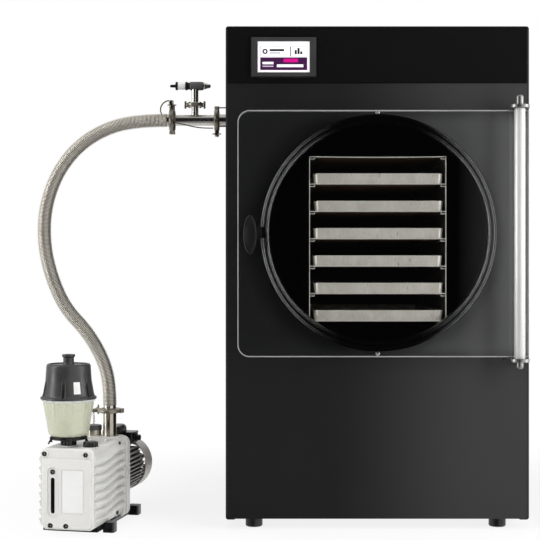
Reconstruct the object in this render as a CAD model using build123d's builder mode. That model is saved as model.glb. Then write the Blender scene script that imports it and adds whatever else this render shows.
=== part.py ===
"""A cabinet freeze dryer with its rotary-vane vacuum pump, in millimetres, +Z up.

The origin is on the floor under the middle of the cabinet, and the door faces -Y.
"""

from build123d import *
import os
from math import cos, pi, radians, sin, sqrt, tan

os.makedirs("parts", exist_ok=True)


def save(piece, name):
    """Labels a finished piece and writes it to its own STEP file."""
    piece.label = name
    export_step(piece, f"parts/{name}.step")


# ---------------------------------------------------------------- driving sizes
gap = 0.3  # clear gap between neighbouring pieces
running = 0.05  # radial clearance of a turning fit

# Cabinet
cabinet_w = 667.0
cabinet_d = 760.0
cabinet_top = 1107.0
cabinet_bottom = 22.0
cabinet_corner = 6.0
sheet = 1.5  # steel sheet of the cabinet
hem = 4.0  # folded front edge of the wrap
hem_depth = 25.0
panel_fold = 12.0  # depth of the fold round each front panel
fascia_bottom = 982.0
fascia_proud = 3.0
foot_r = 19.0
foot_inset_x = 62.0
foot_inset_y = 45.0

# Display
display_x = -206.0
display_z = 1038.0
bezel_w = 144.0
bezel_h = 89.0
bezel_proud = 9.0
screen_w = 114.0
screen_h = 68.0

# Vacuum drum, gasket and rack
drum_z = 652.0
drum_r = 250.0
drum_wall = 3.0
drum_rim_proud = 22.0
drum_length = 572.0
drum_head_radius = 45.0
drum_flange_r = 276.0
gasket_outer_r = 258.0
gasket_inner_r = 236.0
gasket_proud = 30.0
gasket_groove_r = 247.5
gasket_groove_w = 3.0
gasket_groove_depth = 7.0
rack_w = 300.0
rack_sheet = 1.5
rack_setback = 19.0
rack_length = 505.0
shelf_pitch = 60.0
shelf_bottom_z = 460.0
shelf_count = 7
shelf_fold_h = 6.0
shelf_fold_w = 12.0
tray_w = 284.0
tray_length = 488.0
tray_h = 23.0
tray_wall = 1.2
tray_draft = 3.0  # how much narrower each side is at the floor
tray_shifts = [(1.5, 4.0), (2.0, 2.0), (0.0, 3.0), (1.5, 2.0), (3.0, 6.0), (1.2, 3.0)]

# Door, hinge and latch
door_left_x = -306.0
door_right_x = 323.0
door_bottom_z = 383.0
door_top_z = 916.0
door_t = 25.0
door_corner = 26.0
hinge_x = 300.0
hinge_r = 12.0
hinge_bore_r = 10.0
hinge_pin_r = 6.0
hinge_plug = 40.0
bracket_w = 42.0
bracket_t = 6.5
bracket_air = 2.6  # between a bracket and the door's edge
pin_head_r = 8.0
pin_head_above = 22.0
pin_head_below = 15.5
latch_x = -279.0
latch_z = 647.0
latch_shaft_r = 6.0
knob_w = 32.0
knob_h = 80.0
pawl_reach = 21.5
keeper_w = 28.0

# Vacuum line on the left side
line_y = -210.0
line_z = 920.0
line_r = 12.7
line_wall = 1.6
flange_r = 20.0
flange_t = 3.0
port_reach = 26.5  # from the cabinet's side to the port's clamp
tee_length = 104.0
branch_inset = 51.0
branch_r = 8.0
branch_flange_r = 15.0
gauge_clamp_z = 956.0
gauge_z = 1000.0
hose_r = 16.0

# Vacuum pump, in a frame of its own: lateral, along, height
pump_x = -669.0
pump_y = -462.0
pump_yaw = 12.0
case_w = 118.0
case_top = 190.0
case_bottom = 15.0
case_length = 205.0
case_corner = 12.0
rib_pitch = 17.5
rib_count = 8
rib_first_z = 36.0
rib_out = 9.0
rib_start = 3.0
rib_wave = 3.0
flange_plate_t = 23.0
motor_r = 60.0
motor_core_r = 51.0
motor_z = 104.0
motor_length = 136.0
fan_cover_r = 63.0
fan_cover_length = 60.0

port_clamp_x = -cabinet_w / 2 - port_reach
hose_clamp_x = port_clamp_x - tee_length
branch_x = port_clamp_x - branch_inset
front_y = -cabinet_d / 2
back_y = cabinet_d / 2
drum_rim_y = front_y - drum_rim_proud
drum_back_y = drum_rim_y + drum_length
gasket_front_y = front_y - gasket_proud
rack_front_y = drum_rim_y + rack_setback
door_back_y = gasket_front_y - gap
door_front_y = door_back_y - door_t
hinge_y = door_front_y - hinge_r
drum_axis = Axis((0, 0, drum_z), (0, 1, 0))


def facing_front(y):
    """A plane across the cabinet at depth y, looking out of its front: local X and Z."""
    return Plane.XZ.offset(-y)


def facing_left(x):
    """A plane along the cabinet at x, looking out of its left side: local Y runs back to front."""
    return Plane(origin=(x, 0, 0), x_dir=(0, -1, 0), z_dir=(-1, 0, 0))


def drum_height(x, radius):
    """How far a circle of this radius round the drum's axis stands above the axis at x."""
    return sqrt(radius**2 - x**2)


# ---------------------------------------------------------------- cabinet
body_h = cabinet_top - cabinet_bottom
body_mid_z = (cabinet_top + cabinet_bottom) / 2
floor_flange = 20.0

# Sides, top and bottom flanges are one folded sheet.
with BuildPart() as cabinet_wrap:
    with BuildSketch(facing_front(front_y)):
        with Locations((0, body_mid_z)):
            RectangleRounded(cabinet_w, body_h, cabinet_corner)
            RectangleRounded(
                cabinet_w - 2 * sheet, body_h - 2 * sheet, cabinet_corner - sheet, mode=Mode.SUBTRACT
            )
        with Locations((0, cabinet_bottom)):
            Rectangle(cabinet_w - 2 * floor_flange, 4 * sheet, mode=Mode.SUBTRACT)
    extrude(amount=-cabinet_d)
    for side in (-1, 1):
        with BuildSketch(facing_front(front_y)):
            with Locations((side * (cabinet_w / 2 - hem / 2 - sheet / 2), body_mid_z)):
                Rectangle(hem - sheet, body_h - 2 * cabinet_corner)
        extrude(amount=-hem_depth)
    with BuildSketch(facing_left(-cabinet_w / 2)):
        with Locations((-line_y, line_z)):
            Circle(line_r + line_wall + gap)
    extrude(amount=-2 * hem, mode=Mode.SUBTRACT)
save(cabinet_wrap.part, "cabinet_wrap")

pan_floor_z = cabinet_bottom + sheet
pan_w = cabinet_w - 2 * (sheet + cabinet_corner)
pan_d = cabinet_d - 2 * (panel_fold + sheet)
pan_rim = 30.0
with BuildPart() as base_pan:
    with BuildSketch(Plane.XY.offset(pan_floor_z)):
        RectangleRounded(pan_w, pan_d, 8)
    extrude(amount=pan_rim)
    offset(amount=-2.0, openings=base_pan.faces().sort_by(Axis.Z)[-1])
save(base_pan.part, "base_pan")

# Compressor grommets stand on the pan, so both sets of rubber feet are made together.
pan_top_z = pan_floor_z + 2.0
compressor_x = -150.0
compressor_y = 130.0
compressor_r = 88.0
grommet_h = 16.0
mount_span_x = 200.0
mount_span_y = 120.0
with BuildPart() as rubber_feet:
    with BuildSketch():
        with GridLocations(cabinet_w - 2 * foot_inset_x, cabinet_d - 2 * foot_inset_y, 2, 2):
            Circle(foot_r)
    extrude(amount=pan_floor_z)
    chamfer(rubber_feet.faces().sort_by(Axis.Z)[:4].edges(), 2.0)
    with BuildSketch(Plane.XY.offset(pan_top_z)):
        with Locations((compressor_x, compressor_y)):
            with GridLocations(mount_span_x, mount_span_y, 2, 2):
                Circle(12)
    extrude(amount=grommet_h)
save(rubber_feet.part, "rubber_feet")

panel_w = cabinet_w - 2 * hem - 2 * gap
panel_bottom = cabinet_bottom + sheet + gap
panel_top = fascia_bottom - gap
bracket_top_z = door_top_z + bracket_air
bracket_bottom_z = door_bottom_z - bracket_air - bracket_t
with BuildPart() as front_panel:
    with BuildSketch(facing_front(front_y)):
        with Locations((0, (panel_top + panel_bottom) / 2)):
            Rectangle(panel_w, panel_top - panel_bottom)
    extrude(amount=-panel_fold)
    fillet(front_panel.edges().filter_by(Axis.Y).group_by(Axis.Z)[0], cabinet_corner - sheet)
    offset(amount=-sheet, openings=front_panel.faces().sort_by(Axis.Y)[-1])
    with BuildSketch(facing_front(front_y)):
        with Locations((0, drum_z)):
            Circle(drum_r + drum_wall + gap)
        for low in (bracket_top_z, bracket_bottom_z):
            with Locations((hinge_x, low + bracket_t / 2)):
                Rectangle(bracket_w + 2 * gap, bracket_t + 2 * gap)
    extrude(amount=-sheet, mode=Mode.SUBTRACT)
save(front_panel.part, "front_panel")

fascia_top = cabinet_top - sheet - 2 * gap
fascia_y = front_y - fascia_proud
with BuildPart() as control_fascia:
    with BuildSketch(facing_front(fascia_y)):
        with Locations((0, (fascia_top + fascia_bottom) / 2)):
            Rectangle(panel_w, fascia_top - fascia_bottom)
    extrude(amount=-panel_fold)
    fillet(control_fascia.faces().sort_by(Axis.Y)[0].edges(), 1.4)
    offset(amount=-sheet, openings=control_fascia.faces().sort_by(Axis.Y)[-1])
    with BuildSketch(facing_front(fascia_y)):
        with Locations((display_x, display_z)):
            Rectangle(screen_w, screen_h)
    extrude(amount=-panel_fold, mode=Mode.SUBTRACT)
save(control_fascia.part, "control_fascia")

with BuildPart() as display_bezel:
    with BuildSketch(facing_front(fascia_y)):
        with Locations((display_x, display_z)):
            Rectangle(bezel_w, bezel_h)
    extrude(amount=bezel_proud, taper=12)
    with BuildSketch(facing_front(fascia_y - bezel_proud)):
        with Locations((display_x, display_z)):
            Rectangle(screen_w, screen_h)
    extrude(amount=-bezel_proud, mode=Mode.SUBTRACT)
    with BuildSketch(facing_front(fascia_y)):
        with Locations((display_x, display_z)):
            Rectangle(screen_w + 8, screen_h + 8)
    extrude(amount=bezel_proud - 2, mode=Mode.SUBTRACT)
save(display_bezel.part, "display_bezel")

with BuildPart() as touch_screen:
    with BuildSketch(facing_front(fascia_y)):
        with Locations((display_x, display_z)):
            Rectangle(screen_w + 8 - 2 * gap, screen_h + 8 - 2 * gap)
    extrude(amount=bezel_proud - 2)
save(touch_screen.part, "touch_screen")

fan_x = 110.0
fan_z = 205.0
inlet_x = -240.0
inlet_z = 120.0
inlet_w = 62.0
inlet_h = 30.0
drain_x = -120.0
drain_z = 300.0
drain_r = 7.0
rear_panel_w = cabinet_w - 2 * sheet - 2 * gap
rear_panel_top = cabinet_top - sheet - gap
rear_panel_bottom = cabinet_bottom + sheet + gap
with BuildPart() as rear_panel:
    with BuildSketch(facing_front(back_y)):
        with Locations((0, (rear_panel_top + rear_panel_bottom) / 2)):
            RectangleRounded(rear_panel_w, rear_panel_top - rear_panel_bottom, cabinet_corner - sheet)
        with Locations((fan_x, fan_z)):
            with GridLocations(62, 14, 4, 16):
                Rectangle(54, 6, mode=Mode.SUBTRACT)
        with Locations((fan_x, drum_z + 300)):
            with GridLocations(62, 14, 3, 5):
                Rectangle(54, 6, mode=Mode.SUBTRACT)
        with Locations((inlet_x, inlet_z)):
            Rectangle(inlet_w, inlet_h, mode=Mode.SUBTRACT)
        with Locations((drain_x, drain_z)):
            Circle(drain_r + gap, mode=Mode.SUBTRACT)
    extrude(amount=sheet)
save(rear_panel.part, "rear_panel")

# ---------------------------------------------------------------- vacuum drum
pipe_x = -70.0
pipe_r = line_r + line_wall
drain_drop_y = drum_back_y - 50
with BuildPart() as vacuum_drum:
    with BuildSketch(Plane.XY.offset(drum_z)) as drum_profile:
        outer = drum_r + drum_wall
        with BuildLine():
            Polyline(
                (0, drum_rim_y),
                (outer, drum_rim_y),
                (outer, drum_back_y),
                (0, drum_back_y),
                close=True,
            )
        make_face()
        fillet(drum_profile.vertices().group_by(Axis.X)[-1].sort_by(Axis.Y)[-1], drum_head_radius)
    revolve(axis=drum_axis)
    with BuildSketch(Plane.XY.offset(drum_z)):
        with Locations((outer / 2, front_y + sheet + 2)):
            Rectangle(outer, 4)
        with Locations((outer + (drum_flange_r - outer) / 2, front_y + sheet + 2)):
            Rectangle(drum_flange_r - outer, 4)
    revolve(axis=drum_axis)
    with BuildSketch(Plane.XY.offset(drum_z)) as drum_hollow:
        with BuildLine():
            Polyline(
                (0, drum_rim_y),
                (drum_r, drum_rim_y),
                (drum_r, drum_back_y - drum_wall),
                (0, drum_back_y - drum_wall),
                close=True,
            )
        make_face()
        fillet(
            drum_hollow.vertices().group_by(Axis.X)[-1].sort_by(Axis.Y)[-1],
            drum_head_radius - drum_wall,
        )
    revolve(axis=drum_axis, mode=Mode.SUBTRACT)
    with BuildSketch(Plane.XY.offset(drum_z)):
        with Locations((pipe_x, line_y)):
            Circle(line_r)
    extrude(amount=drum_r + 40, mode=Mode.SUBTRACT)
    with BuildSketch(Plane.XY.offset(drum_z)):
        with Locations((0, drain_drop_y)):
            Circle(drain_r - 1)
    extrude(amount=-drum_r - 40, mode=Mode.SUBTRACT)
save(vacuum_drum.part, "vacuum_drum")

keeper_left_x = -270.0
keeper_right_x = -outer - 0.6
with BuildPart() as door_gasket:
    lip_back_y = front_y - gap
    inner_back_y = gasket_front_y + 26
    with BuildSketch(Plane.XY.offset(drum_z)) as gasket_profile:
        with BuildLine():
            Polyline(
                (gasket_inner_r + 4, inner_back_y),
                (gasket_inner_r, gasket_front_y + 14),
                (gasket_inner_r + 2, gasket_front_y + 4),
                (gasket_groove_r - 8, gasket_front_y + 1),
                (gasket_groove_r - 3, gasket_front_y + 0.6),
                (gasket_groove_r - gasket_groove_w / 2, gasket_front_y + 3),
                (gasket_groove_r - gasket_groove_w / 2, gasket_front_y + gasket_groove_depth),
                (gasket_groove_r + gasket_groove_w / 2, gasket_front_y + gasket_groove_depth),
                (gasket_groove_r + gasket_groove_w / 2, gasket_front_y + 2),
                (gasket_groove_r + 4, gasket_front_y),
                (gasket_outer_r - 3, gasket_front_y),
                (gasket_outer_r, gasket_front_y + 4),
                (gasket_outer_r, lip_back_y),
                (outer + gap, lip_back_y),
                (outer + gap, drum_rim_y - gap),
                (drum_r - gap, drum_rim_y - gap),
                (drum_r - gap, inner_back_y),
                close=True,
            )
        make_face()
    revolve(axis=drum_axis)
    # The outer lip is relieved where the latch keeper stands.
    with BuildSketch(facing_front(front_y)):
        with Locations((keeper_right_x - 10, drum_z)):
            Rectangle(20.6, keeper_w + 4)
    extrude(amount=40, mode=Mode.SUBTRACT)
save(door_gasket.part, "door_gasket")

# ---------------------------------------------------------------- rack, mats and trays
rack_bottom_z = drum_z - drum_height(rack_w / 2, drum_r) + gap
rack_top_z = shelf_bottom_z + (shelf_count - 1) * shelf_pitch
shelf_heights = [shelf_bottom_z + i * shelf_pitch for i in range(shelf_count)]
with BuildPart() as shelf_rack:
    with BuildSketch(facing_front(rack_front_y)):
        for side in (-1, 1):
            with Locations((side * (rack_w - rack_sheet) / 2, (rack_bottom_z + rack_top_z) / 2)):
                Rectangle(rack_sheet, rack_top_z - rack_bottom_z)
        for height in shelf_heights:
            with Locations((0, height - rack_sheet / 2)):
                Rectangle(rack_w, rack_sheet)
            for side in (-1, 1):
                with Locations((side * (rack_w - shelf_fold_w) / 2, height - shelf_fold_h)):
                    Rectangle(shelf_fold_w, rack_sheet)
    extrude(amount=-rack_length)
save(shelf_rack.part, "shelf_rack")

mat_w = rack_w - 2 * shelf_fold_w - 10
mat_t = 1.6
with BuildPart() as heater_mats:
    for height in shelf_heights:
        with BuildSketch(facing_front(rack_front_y + 12)):
            with Locations((0, height - rack_sheet - mat_t / 2)):
                Rectangle(mat_w, mat_t)
        extrude(amount=-(rack_length - 30))
save(heater_mats.part, "heater_mats")

for number, (shift_x, shift_y) in enumerate(tray_shifts, start=1):
    tray_floor_z = shelf_heights[number - 1]
    tray_mid_y = rack_front_y + shift_y + tray_length / 2
    with BuildPart() as tray:
        with BuildSketch(Plane.XY.offset(tray_floor_z)):
            with Locations((shift_x, tray_mid_y)):
                RectangleRounded(tray_w - 2 * tray_draft, tray_length - 2 * tray_draft, 9)
        with BuildSketch(Plane.XY.offset(tray_floor_z + tray_h)):
            with Locations((shift_x, tray_mid_y)):
                RectangleRounded(tray_w, tray_length, 11)
        loft()
        offset(amount=-tray_wall, openings=tray.faces().sort_by(Axis.Z)[-1])
    save(tray.part, f"tray_{number}")

# ---------------------------------------------------------------- door, hinge and latch
screw_heights = [door_bottom_z + 60, drum_z, door_top_z - 60]
saddle_w = 16.0
saddle_h = 34.0
door_screw_r = 3.0
with BuildPart() as door_panel:
    with BuildSketch(facing_front(door_back_y)) as door_outline:
        with Locations(((door_left_x + door_right_x) / 2, (door_bottom_z + door_top_z) / 2)):
            Rectangle(door_right_x - door_left_x, door_top_z - door_bottom_z)
        fillet(door_outline.vertices().group_by(Axis.X)[0], door_corner)
        fillet(door_outline.vertices().group_by(Axis.X)[-1], 2)
        with Locations((latch_x, latch_z)):
            Circle(latch_shaft_r + running, mode=Mode.SUBTRACT)
        for height in screw_heights:
            with Locations((hinge_x, height)):
                Circle(door_screw_r + running, mode=Mode.SUBTRACT)
    extrude(amount=door_t)
    chamfer(door_panel.edges().filter_by(Plane.XZ).group_by(Axis.Y)[0].filter_by(GeomType.LINE), 0.8)
save(door_panel.part, "door_panel")

tube_low_z = bracket_bottom_z + bracket_t + gap
tube_high_z = bracket_top_z - gap
with BuildPart() as hinge_tube:
    with BuildSketch(Plane.XY.offset(tube_low_z)):
        with Locations((hinge_x, hinge_y)):
            Circle(hinge_r)
    extrude(amount=tube_high_z - tube_low_z)
    for height in screw_heights:
        with BuildSketch(facing_front(hinge_y)):
            with Locations((hinge_x, height)):
                Rectangle(saddle_w, saddle_h)
        extrude(amount=-hinge_r)
    with BuildSketch(Plane.XY.offset(tube_low_z)):
        with Locations((hinge_x, hinge_y)):
            Circle(hinge_pin_r + running)
    extrude(amount=tube_high_z - tube_low_z, mode=Mode.SUBTRACT)
    with BuildSketch(Plane.XY.offset(tube_low_z + hinge_plug)):
        with Locations((hinge_x, hinge_y)):
            Circle(hinge_bore_r)
    extrude(amount=tube_high_z - tube_low_z - 2 * hinge_plug, mode=Mode.SUBTRACT)
    for height in screw_heights:
        with BuildSketch(facing_front(hinge_y + hinge_r)):
            with Locations((hinge_x, height)):
                Circle(door_screw_r + running)
        extrude(amount=2.5, mode=Mode.SUBTRACT)
save(hinge_tube.part, "hinge_tube")

with BuildPart() as door_screws:
    for height in screw_heights:
        with BuildSketch(facing_front(door_back_y)):
            with Locations((hinge_x, height)):
                Circle(5.5)
        extrude(amount=-3.2)
        with BuildSketch(facing_front(door_back_y)):
            with Locations((hinge_x, height)):
                Circle(door_screw_r)
        extrude(amount=door_t + 2.0)
    fillet(door_screws.faces().sort_by(Axis.Y)[-3:].edges(), 1.6)
save(door_screws.part, "door_screws")

ear_drop = 26.0
with BuildPart() as hinge_brackets:
    for low, ear_way in ((bracket_top_z, 1), (bracket_bottom_z, -1)):
        with BuildSketch(Plane.XY.offset(low)):
            with BuildLine():
                Polyline(
                    (hinge_x - bracket_w / 2, front_y + sheet + 3),
                    (hinge_x - bracket_w / 2, hinge_y),
                )
                ThreePointArc(
                    (hinge_x - bracket_w / 2, hinge_y),
                    (hinge_x, hinge_y - bracket_w / 2),
                    (hinge_x + bracket_w / 2, hinge_y),
                )
                Polyline(
                    (hinge_x + bracket_w / 2, hinge_y),
                    (hinge_x + bracket_w / 2, front_y + sheet + 3),
                    (hinge_x - bracket_w / 2, front_y + sheet + 3),
                )
            make_face()
        extrude(amount=bracket_t)
        with BuildSketch(facing_front(front_y + sheet)):
            with Locations((hinge_x, low + bracket_t / 2 + ear_way * (ear_drop + bracket_t) / 2)):
                Rectangle(bracket_w, ear_drop)
        extrude(amount=-3.0)
    # A domed pin is welded into each bracket and reaches into the door's tube.
    for seat_z, way, head in (
        (bracket_top_z + bracket_t, 1, pin_head_above),
        (bracket_bottom_z, -1, pin_head_below),
    ):
        with BuildSketch(Plane.XY.offset(seat_z)):
            with Locations((hinge_x, hinge_y)):
                Circle(pin_head_r)
        extrude(amount=way * head)
        rims = hinge_brackets.edges().filter_by(GeomType.CIRCLE)
        rims = rims.filter_by(lambda rim: abs(rim.arc_center.Z - seat_z - way * head) < 0.01)
        fillet(rims.filter_by(lambda rim: abs(rim.radius - pin_head_r) < 0.01), 5.5)
        with BuildSketch(Plane.XY.offset(seat_z)):
            with Locations((hinge_x, hinge_y)):
                Circle(hinge_pin_r)
        extrude(amount=-way * (bracket_t + hinge_plug - 6))
save(hinge_brackets.part, "hinge_brackets")

pawl_front_y = gasket_front_y + 10
pawl_t = 4.0
knob_depth = 26.0
with BuildPart() as latch_knob:
    with BuildSketch(facing_front(door_front_y - gap)):
        with Locations((latch_x, latch_z)):
            Circle(11)
    extrude(amount=8)
    with BuildSketch(facing_front(door_front_y - gap - 8)):
        with Locations((latch_x, latch_z)):
            Ellipse(knob_w / 2, knob_h / 2)
    extrude(amount=knob_depth - 8)
    fillet(latch_knob.faces().sort_by(Axis.Y)[0].edges(), 5)
    with BuildSketch(facing_front(door_front_y - gap)):
        with Locations((latch_x, latch_z)):
            Circle(latch_shaft_r)
    extrude(amount=-(pawl_front_y + pawl_t - door_front_y + gap))
    with BuildSketch(facing_front(pawl_front_y)):
        with Locations((latch_x + latch_shaft_r, latch_z)):
            Rectangle(4, 4 * latch_shaft_r)
    extrude(amount=-pawl_t, mode=Mode.SUBTRACT)
save(latch_knob.part, "latch_knob")

with BuildPart() as latch_pawl:
    with BuildSketch(facing_front(pawl_front_y)) as pawl_outline:
        with Locations((latch_x, latch_z)):
            Circle(10.5)
        with Locations((latch_x, latch_z + pawl_reach / 2)):
            Rectangle(10, pawl_reach)
        with Locations((latch_x, latch_z)):
            Circle(latch_shaft_r + running, mode=Mode.SUBTRACT)
        with Locations((latch_x + latch_shaft_r + 0.5, latch_z)):
            Rectangle(4.8, 4 * latch_shaft_r - 16, mode=Mode.ADD)
    extrude(amount=-pawl_t)
save(latch_pawl.part, "latch_pawl")

with BuildPart() as latch_keeper:
    lip_front_y = gasket_front_y + 2
    with BuildSketch(Plane.XY.offset(drum_z - keeper_w / 2)):
        with BuildLine():
            Polyline(
                (keeper_left_x, front_y),
                (keeper_right_x, front_y),
                (keeper_right_x, lip_front_y),
                (keeper_left_x, lip_front_y),
                (keeper_left_x, lip_front_y + 3.2),
                (keeper_right_x - 2.6, lip_front_y + 3.2),
                (keeper_right_x - 2.6, front_y - 2.2),
                (keeper_left_x, front_y - 2.2),
                close=True,
            )
        make_face()
    extrude(amount=keeper_w)
save(latch_keeper.part, "latch_keeper")

with BuildPart() as cabinet_screws:
    for height in (drum_z + gasket_outer_r + 6, drum_z - gasket_outer_r - 6):
        with BuildSketch(facing_front(front_y)):
            with Locations((0, height)):
                Circle(5)
        extrude(amount=4.5)
    fillet(cabinet_screws.faces().sort_by(Axis.Y)[:2].edges(), 2.5)
save(cabinet_screws.part, "cabinet_screws")

# ---------------------------------------------------------------- refrigeration and electrics
coil_tube_r = 5.0
coil_r = drum_r + drum_wall + coil_tube_r + gap
coil_passes = 6
coil_first_y = front_y + 50
coil_pitch = 74.0
coil_open = 40.0  # half of the bare sector under the drum, in degrees


def coil_point(angle, y):
    """A point on the coil's centreline: angle in degrees from +X round the drum."""
    return (coil_r * cos(radians(angle)), y, drum_z + coil_r * sin(radians(angle)))


low_angle = -90 + coil_open
high_angle = 270 - coil_open
with BuildPart() as evaporator_coil:
    with BuildLine() as coil_path:
        for turn in range(coil_passes):
            pass_y = coil_first_y + turn * coil_pitch
            start, end = (low_angle, high_angle) if turn % 2 == 0 else (high_angle, low_angle)
            ThreePointArc(coil_point(start, pass_y), coil_point(90, pass_y), coil_point(end, pass_y))
            if turn < coil_passes - 1:
                along = 1 if turn % 2 == 0 else -1
                bend_x, _, bend_z = coil_point(end, pass_y)
                step_x = -along * sin(radians(end)) * coil_pitch / 2
                step_z = along * cos(radians(end)) * coil_pitch / 2
                ThreePointArc(
                    (bend_x, pass_y, bend_z),
                    (bend_x + step_x, pass_y + coil_pitch / 2, bend_z + step_z),
                    (bend_x, pass_y + coil_pitch, bend_z),
                )
    with BuildSketch(Plane(origin=coil_path.line @ 0, z_dir=coil_path.line % 0)):
        Circle(coil_tube_r)
    sweep()

foam_inner_r = coil_r + coil_tube_r + 1
foam_outer_r = 288.0
foam_front_y = front_y + sheet + 6
foam_back_y = drum_back_y - 40
bare_w = 380.0
bare_h = 110.0
with BuildPart() as drum_insulation:
    with BuildSketch(Plane.XY.offset(drum_z)):
        with Locations(((foam_inner_r + foam_outer_r) / 2, (foam_front_y + foam_back_y) / 2)):
            Rectangle(foam_outer_r - foam_inner_r, foam_back_y - foam_front_y)
        with Locations(((outer + gap + foam_outer_r) / 2, foam_front_y + 10)):
            Rectangle(foam_outer_r - outer - gap, 20)
    revolve(axis=drum_axis)
    with BuildSketch(Plane.XY.offset(line_z)):
        with Locations((-cabinet_w / 2, line_y)):
            Rectangle(
                cabinet_w - 2 * abs(pipe_x) + 4 * pipe_r,
                2 * pipe_r + 2,
                align=(Align.MIN, Align.CENTER),
            )
    extrude(amount=60, both=True, mode=Mode.SUBTRACT)
    # Bare under the drum, where the coil's ends and the drain come out.
    with BuildSketch(Plane.XY.offset(drum_z - foam_outer_r)):
        with Locations((0, (foam_front_y + foam_back_y) / 2 + 20)):
            Rectangle(bare_w, foam_back_y - foam_front_y)
    extrude(amount=bare_h, mode=Mode.SUBTRACT)
save(drum_insulation.part, "drum_insulation")

compressor_axis = Axis((compressor_x, compressor_y, 0), (0, 0, 1))
mount_z = pan_top_z + grommet_h
compressor_base_z = mount_z + 3
compressor_h = 205.0
with BuildPart() as compressor:
    with BuildSketch(Plane.XZ.offset(-compressor_y)) as can_profile:
        with Locations((compressor_x, compressor_base_z)):
            Rectangle(compressor_r, compressor_h, align=(Align.MIN, Align.MIN))
        fillet(can_profile.vertices().group_by(Axis.X)[-1], 42)
    revolve(axis=compressor_axis)
    with BuildSketch(Plane.XZ.offset(-compressor_y)):
        with Locations((compressor_x, compressor_base_z + compressor_h * 0.55)):
            Rectangle(compressor_r + 4, 8, align=(Align.MIN, Align.CENTER))
    revolve(axis=compressor_axis)
    with BuildSketch(Plane.XY.offset(mount_z)):
        with Locations((compressor_x, compressor_y)):
            RectangleRounded(mount_span_x + 36, mount_span_y + 36, 14)
    extrude(amount=4)
save(compressor.part, "compressor")

condenser_w = 290.0
condenser_h = 270.0
condenser_t = 48.0
condenser_back_y = pan_d / 2 - 2.0 - gap
condenser_z = 205.0
fin_pitch = 10.0
with BuildPart() as condenser:
    with BuildSketch(facing_front(condenser_back_y)):
        with Locations((fan_x, condenser_z)):
            Rectangle(condenser_w, condenser_h)
            with GridLocations(fin_pitch, 1, int((condenser_w - 30) / fin_pitch), 1):
                Rectangle(fin_pitch - 2, condenser_h - 24, mode=Mode.SUBTRACT)
    extrude(amount=condenser_t)
    with BuildSketch(facing_front(condenser_back_y - 6)):
        with Locations((fan_x, condenser_z)):
            with GridLocations(1, 40, 1, 6):
                Rectangle(condenser_w - 20, 9)
    extrude(amount=condenser_t - 12)
    with BuildSketch(Plane.XY.offset(pan_top_z)):
        with Locations((fan_x, condenser_back_y - condenser_t / 2)):
            Rectangle(condenser_w, condenser_t)
    extrude(amount=condenser_z - condenser_h / 2 - pan_top_z)
save(condenser.part, "condenser")

shroud_depth = 46.0
shroud_back_y = condenser_back_y - condenser_t
fan_r = 112.0
fan_hub_r = 24.0
fan_shaft_r = 4.0
with BuildPart() as fan_shroud:
    with BuildSketch(facing_front(shroud_back_y)):
        with Locations((fan_x, condenser_z)):
            Rectangle(condenser_w, condenser_h)
            Circle(fan_r + 8, mode=Mode.SUBTRACT)
    extrude(amount=1.5)
    with BuildSketch(facing_front(shroud_back_y)):
        with Locations((fan_x, condenser_z)):
            Circle(fan_r + 9.5)
            Circle(fan_r + 8, mode=Mode.SUBTRACT)
    extrude(amount=shroud_depth)
    with BuildSketch(facing_front(shroud_back_y - shroud_depth)):
        with Locations((fan_x, condenser_z)):
            Circle(fan_hub_r + 14)
            Rectangle(2 * fan_r + 18, 9)
            Rectangle(9, 2 * fan_r + 18)
            Circle(fan_hub_r + 4, mode=Mode.SUBTRACT)
    extrude(amount=3)
save(fan_shroud.part, "fan_shroud")

shroud_front_y = shroud_back_y - shroud_depth - 3
with BuildPart() as fan_motor:
    with BuildSketch(facing_front(shroud_front_y)):
        with Locations((fan_x, condenser_z)):
            Circle(fan_hub_r + 14)
    extrude(amount=3)
    with BuildSketch(facing_front(shroud_front_y)):
        with Locations((fan_x, condenser_z)):
            Circle(fan_hub_r + 8)
    extrude(amount=48)
    fillet(fan_motor.faces().sort_by(Axis.Y)[0].edges(), 8)
    with BuildSketch(facing_front(shroud_front_y)):
        with Locations((fan_x, condenser_z)):
            Circle(fan_shaft_r)
    extrude(amount=-shroud_depth + 8)
save(fan_motor.part, "fan_motor")

blade_count = 5
blade_depth = 26.0
blade_front_y = shroud_front_y + 9.0
with BuildPart() as fan_blades:
    with BuildSketch(facing_front(blade_front_y)):
        with Locations((fan_x, condenser_z)):
            Circle(fan_hub_r)
            Circle(fan_shaft_r + running, mode=Mode.SUBTRACT)
    extrude(amount=-blade_depth)
    for turn in range(blade_count):
        blade_plane = Plane(
            origin=(fan_x, blade_front_y + blade_depth / 2, condenser_z),
            z_dir=(cos(2 * pi * turn / blade_count), 0, sin(2 * pi * turn / blade_count)),
            x_dir=(0, 1, 0),
        )
        with BuildSketch(blade_plane.offset(fan_hub_r - 2)):
            Rectangle(2.5, 34, rotation=-42)
        with BuildSketch(blade_plane.offset(fan_r)):
            Rectangle(2.5, 70, rotation=-20)
        loft()
save(fan_blades.part, "fan_blades")

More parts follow.
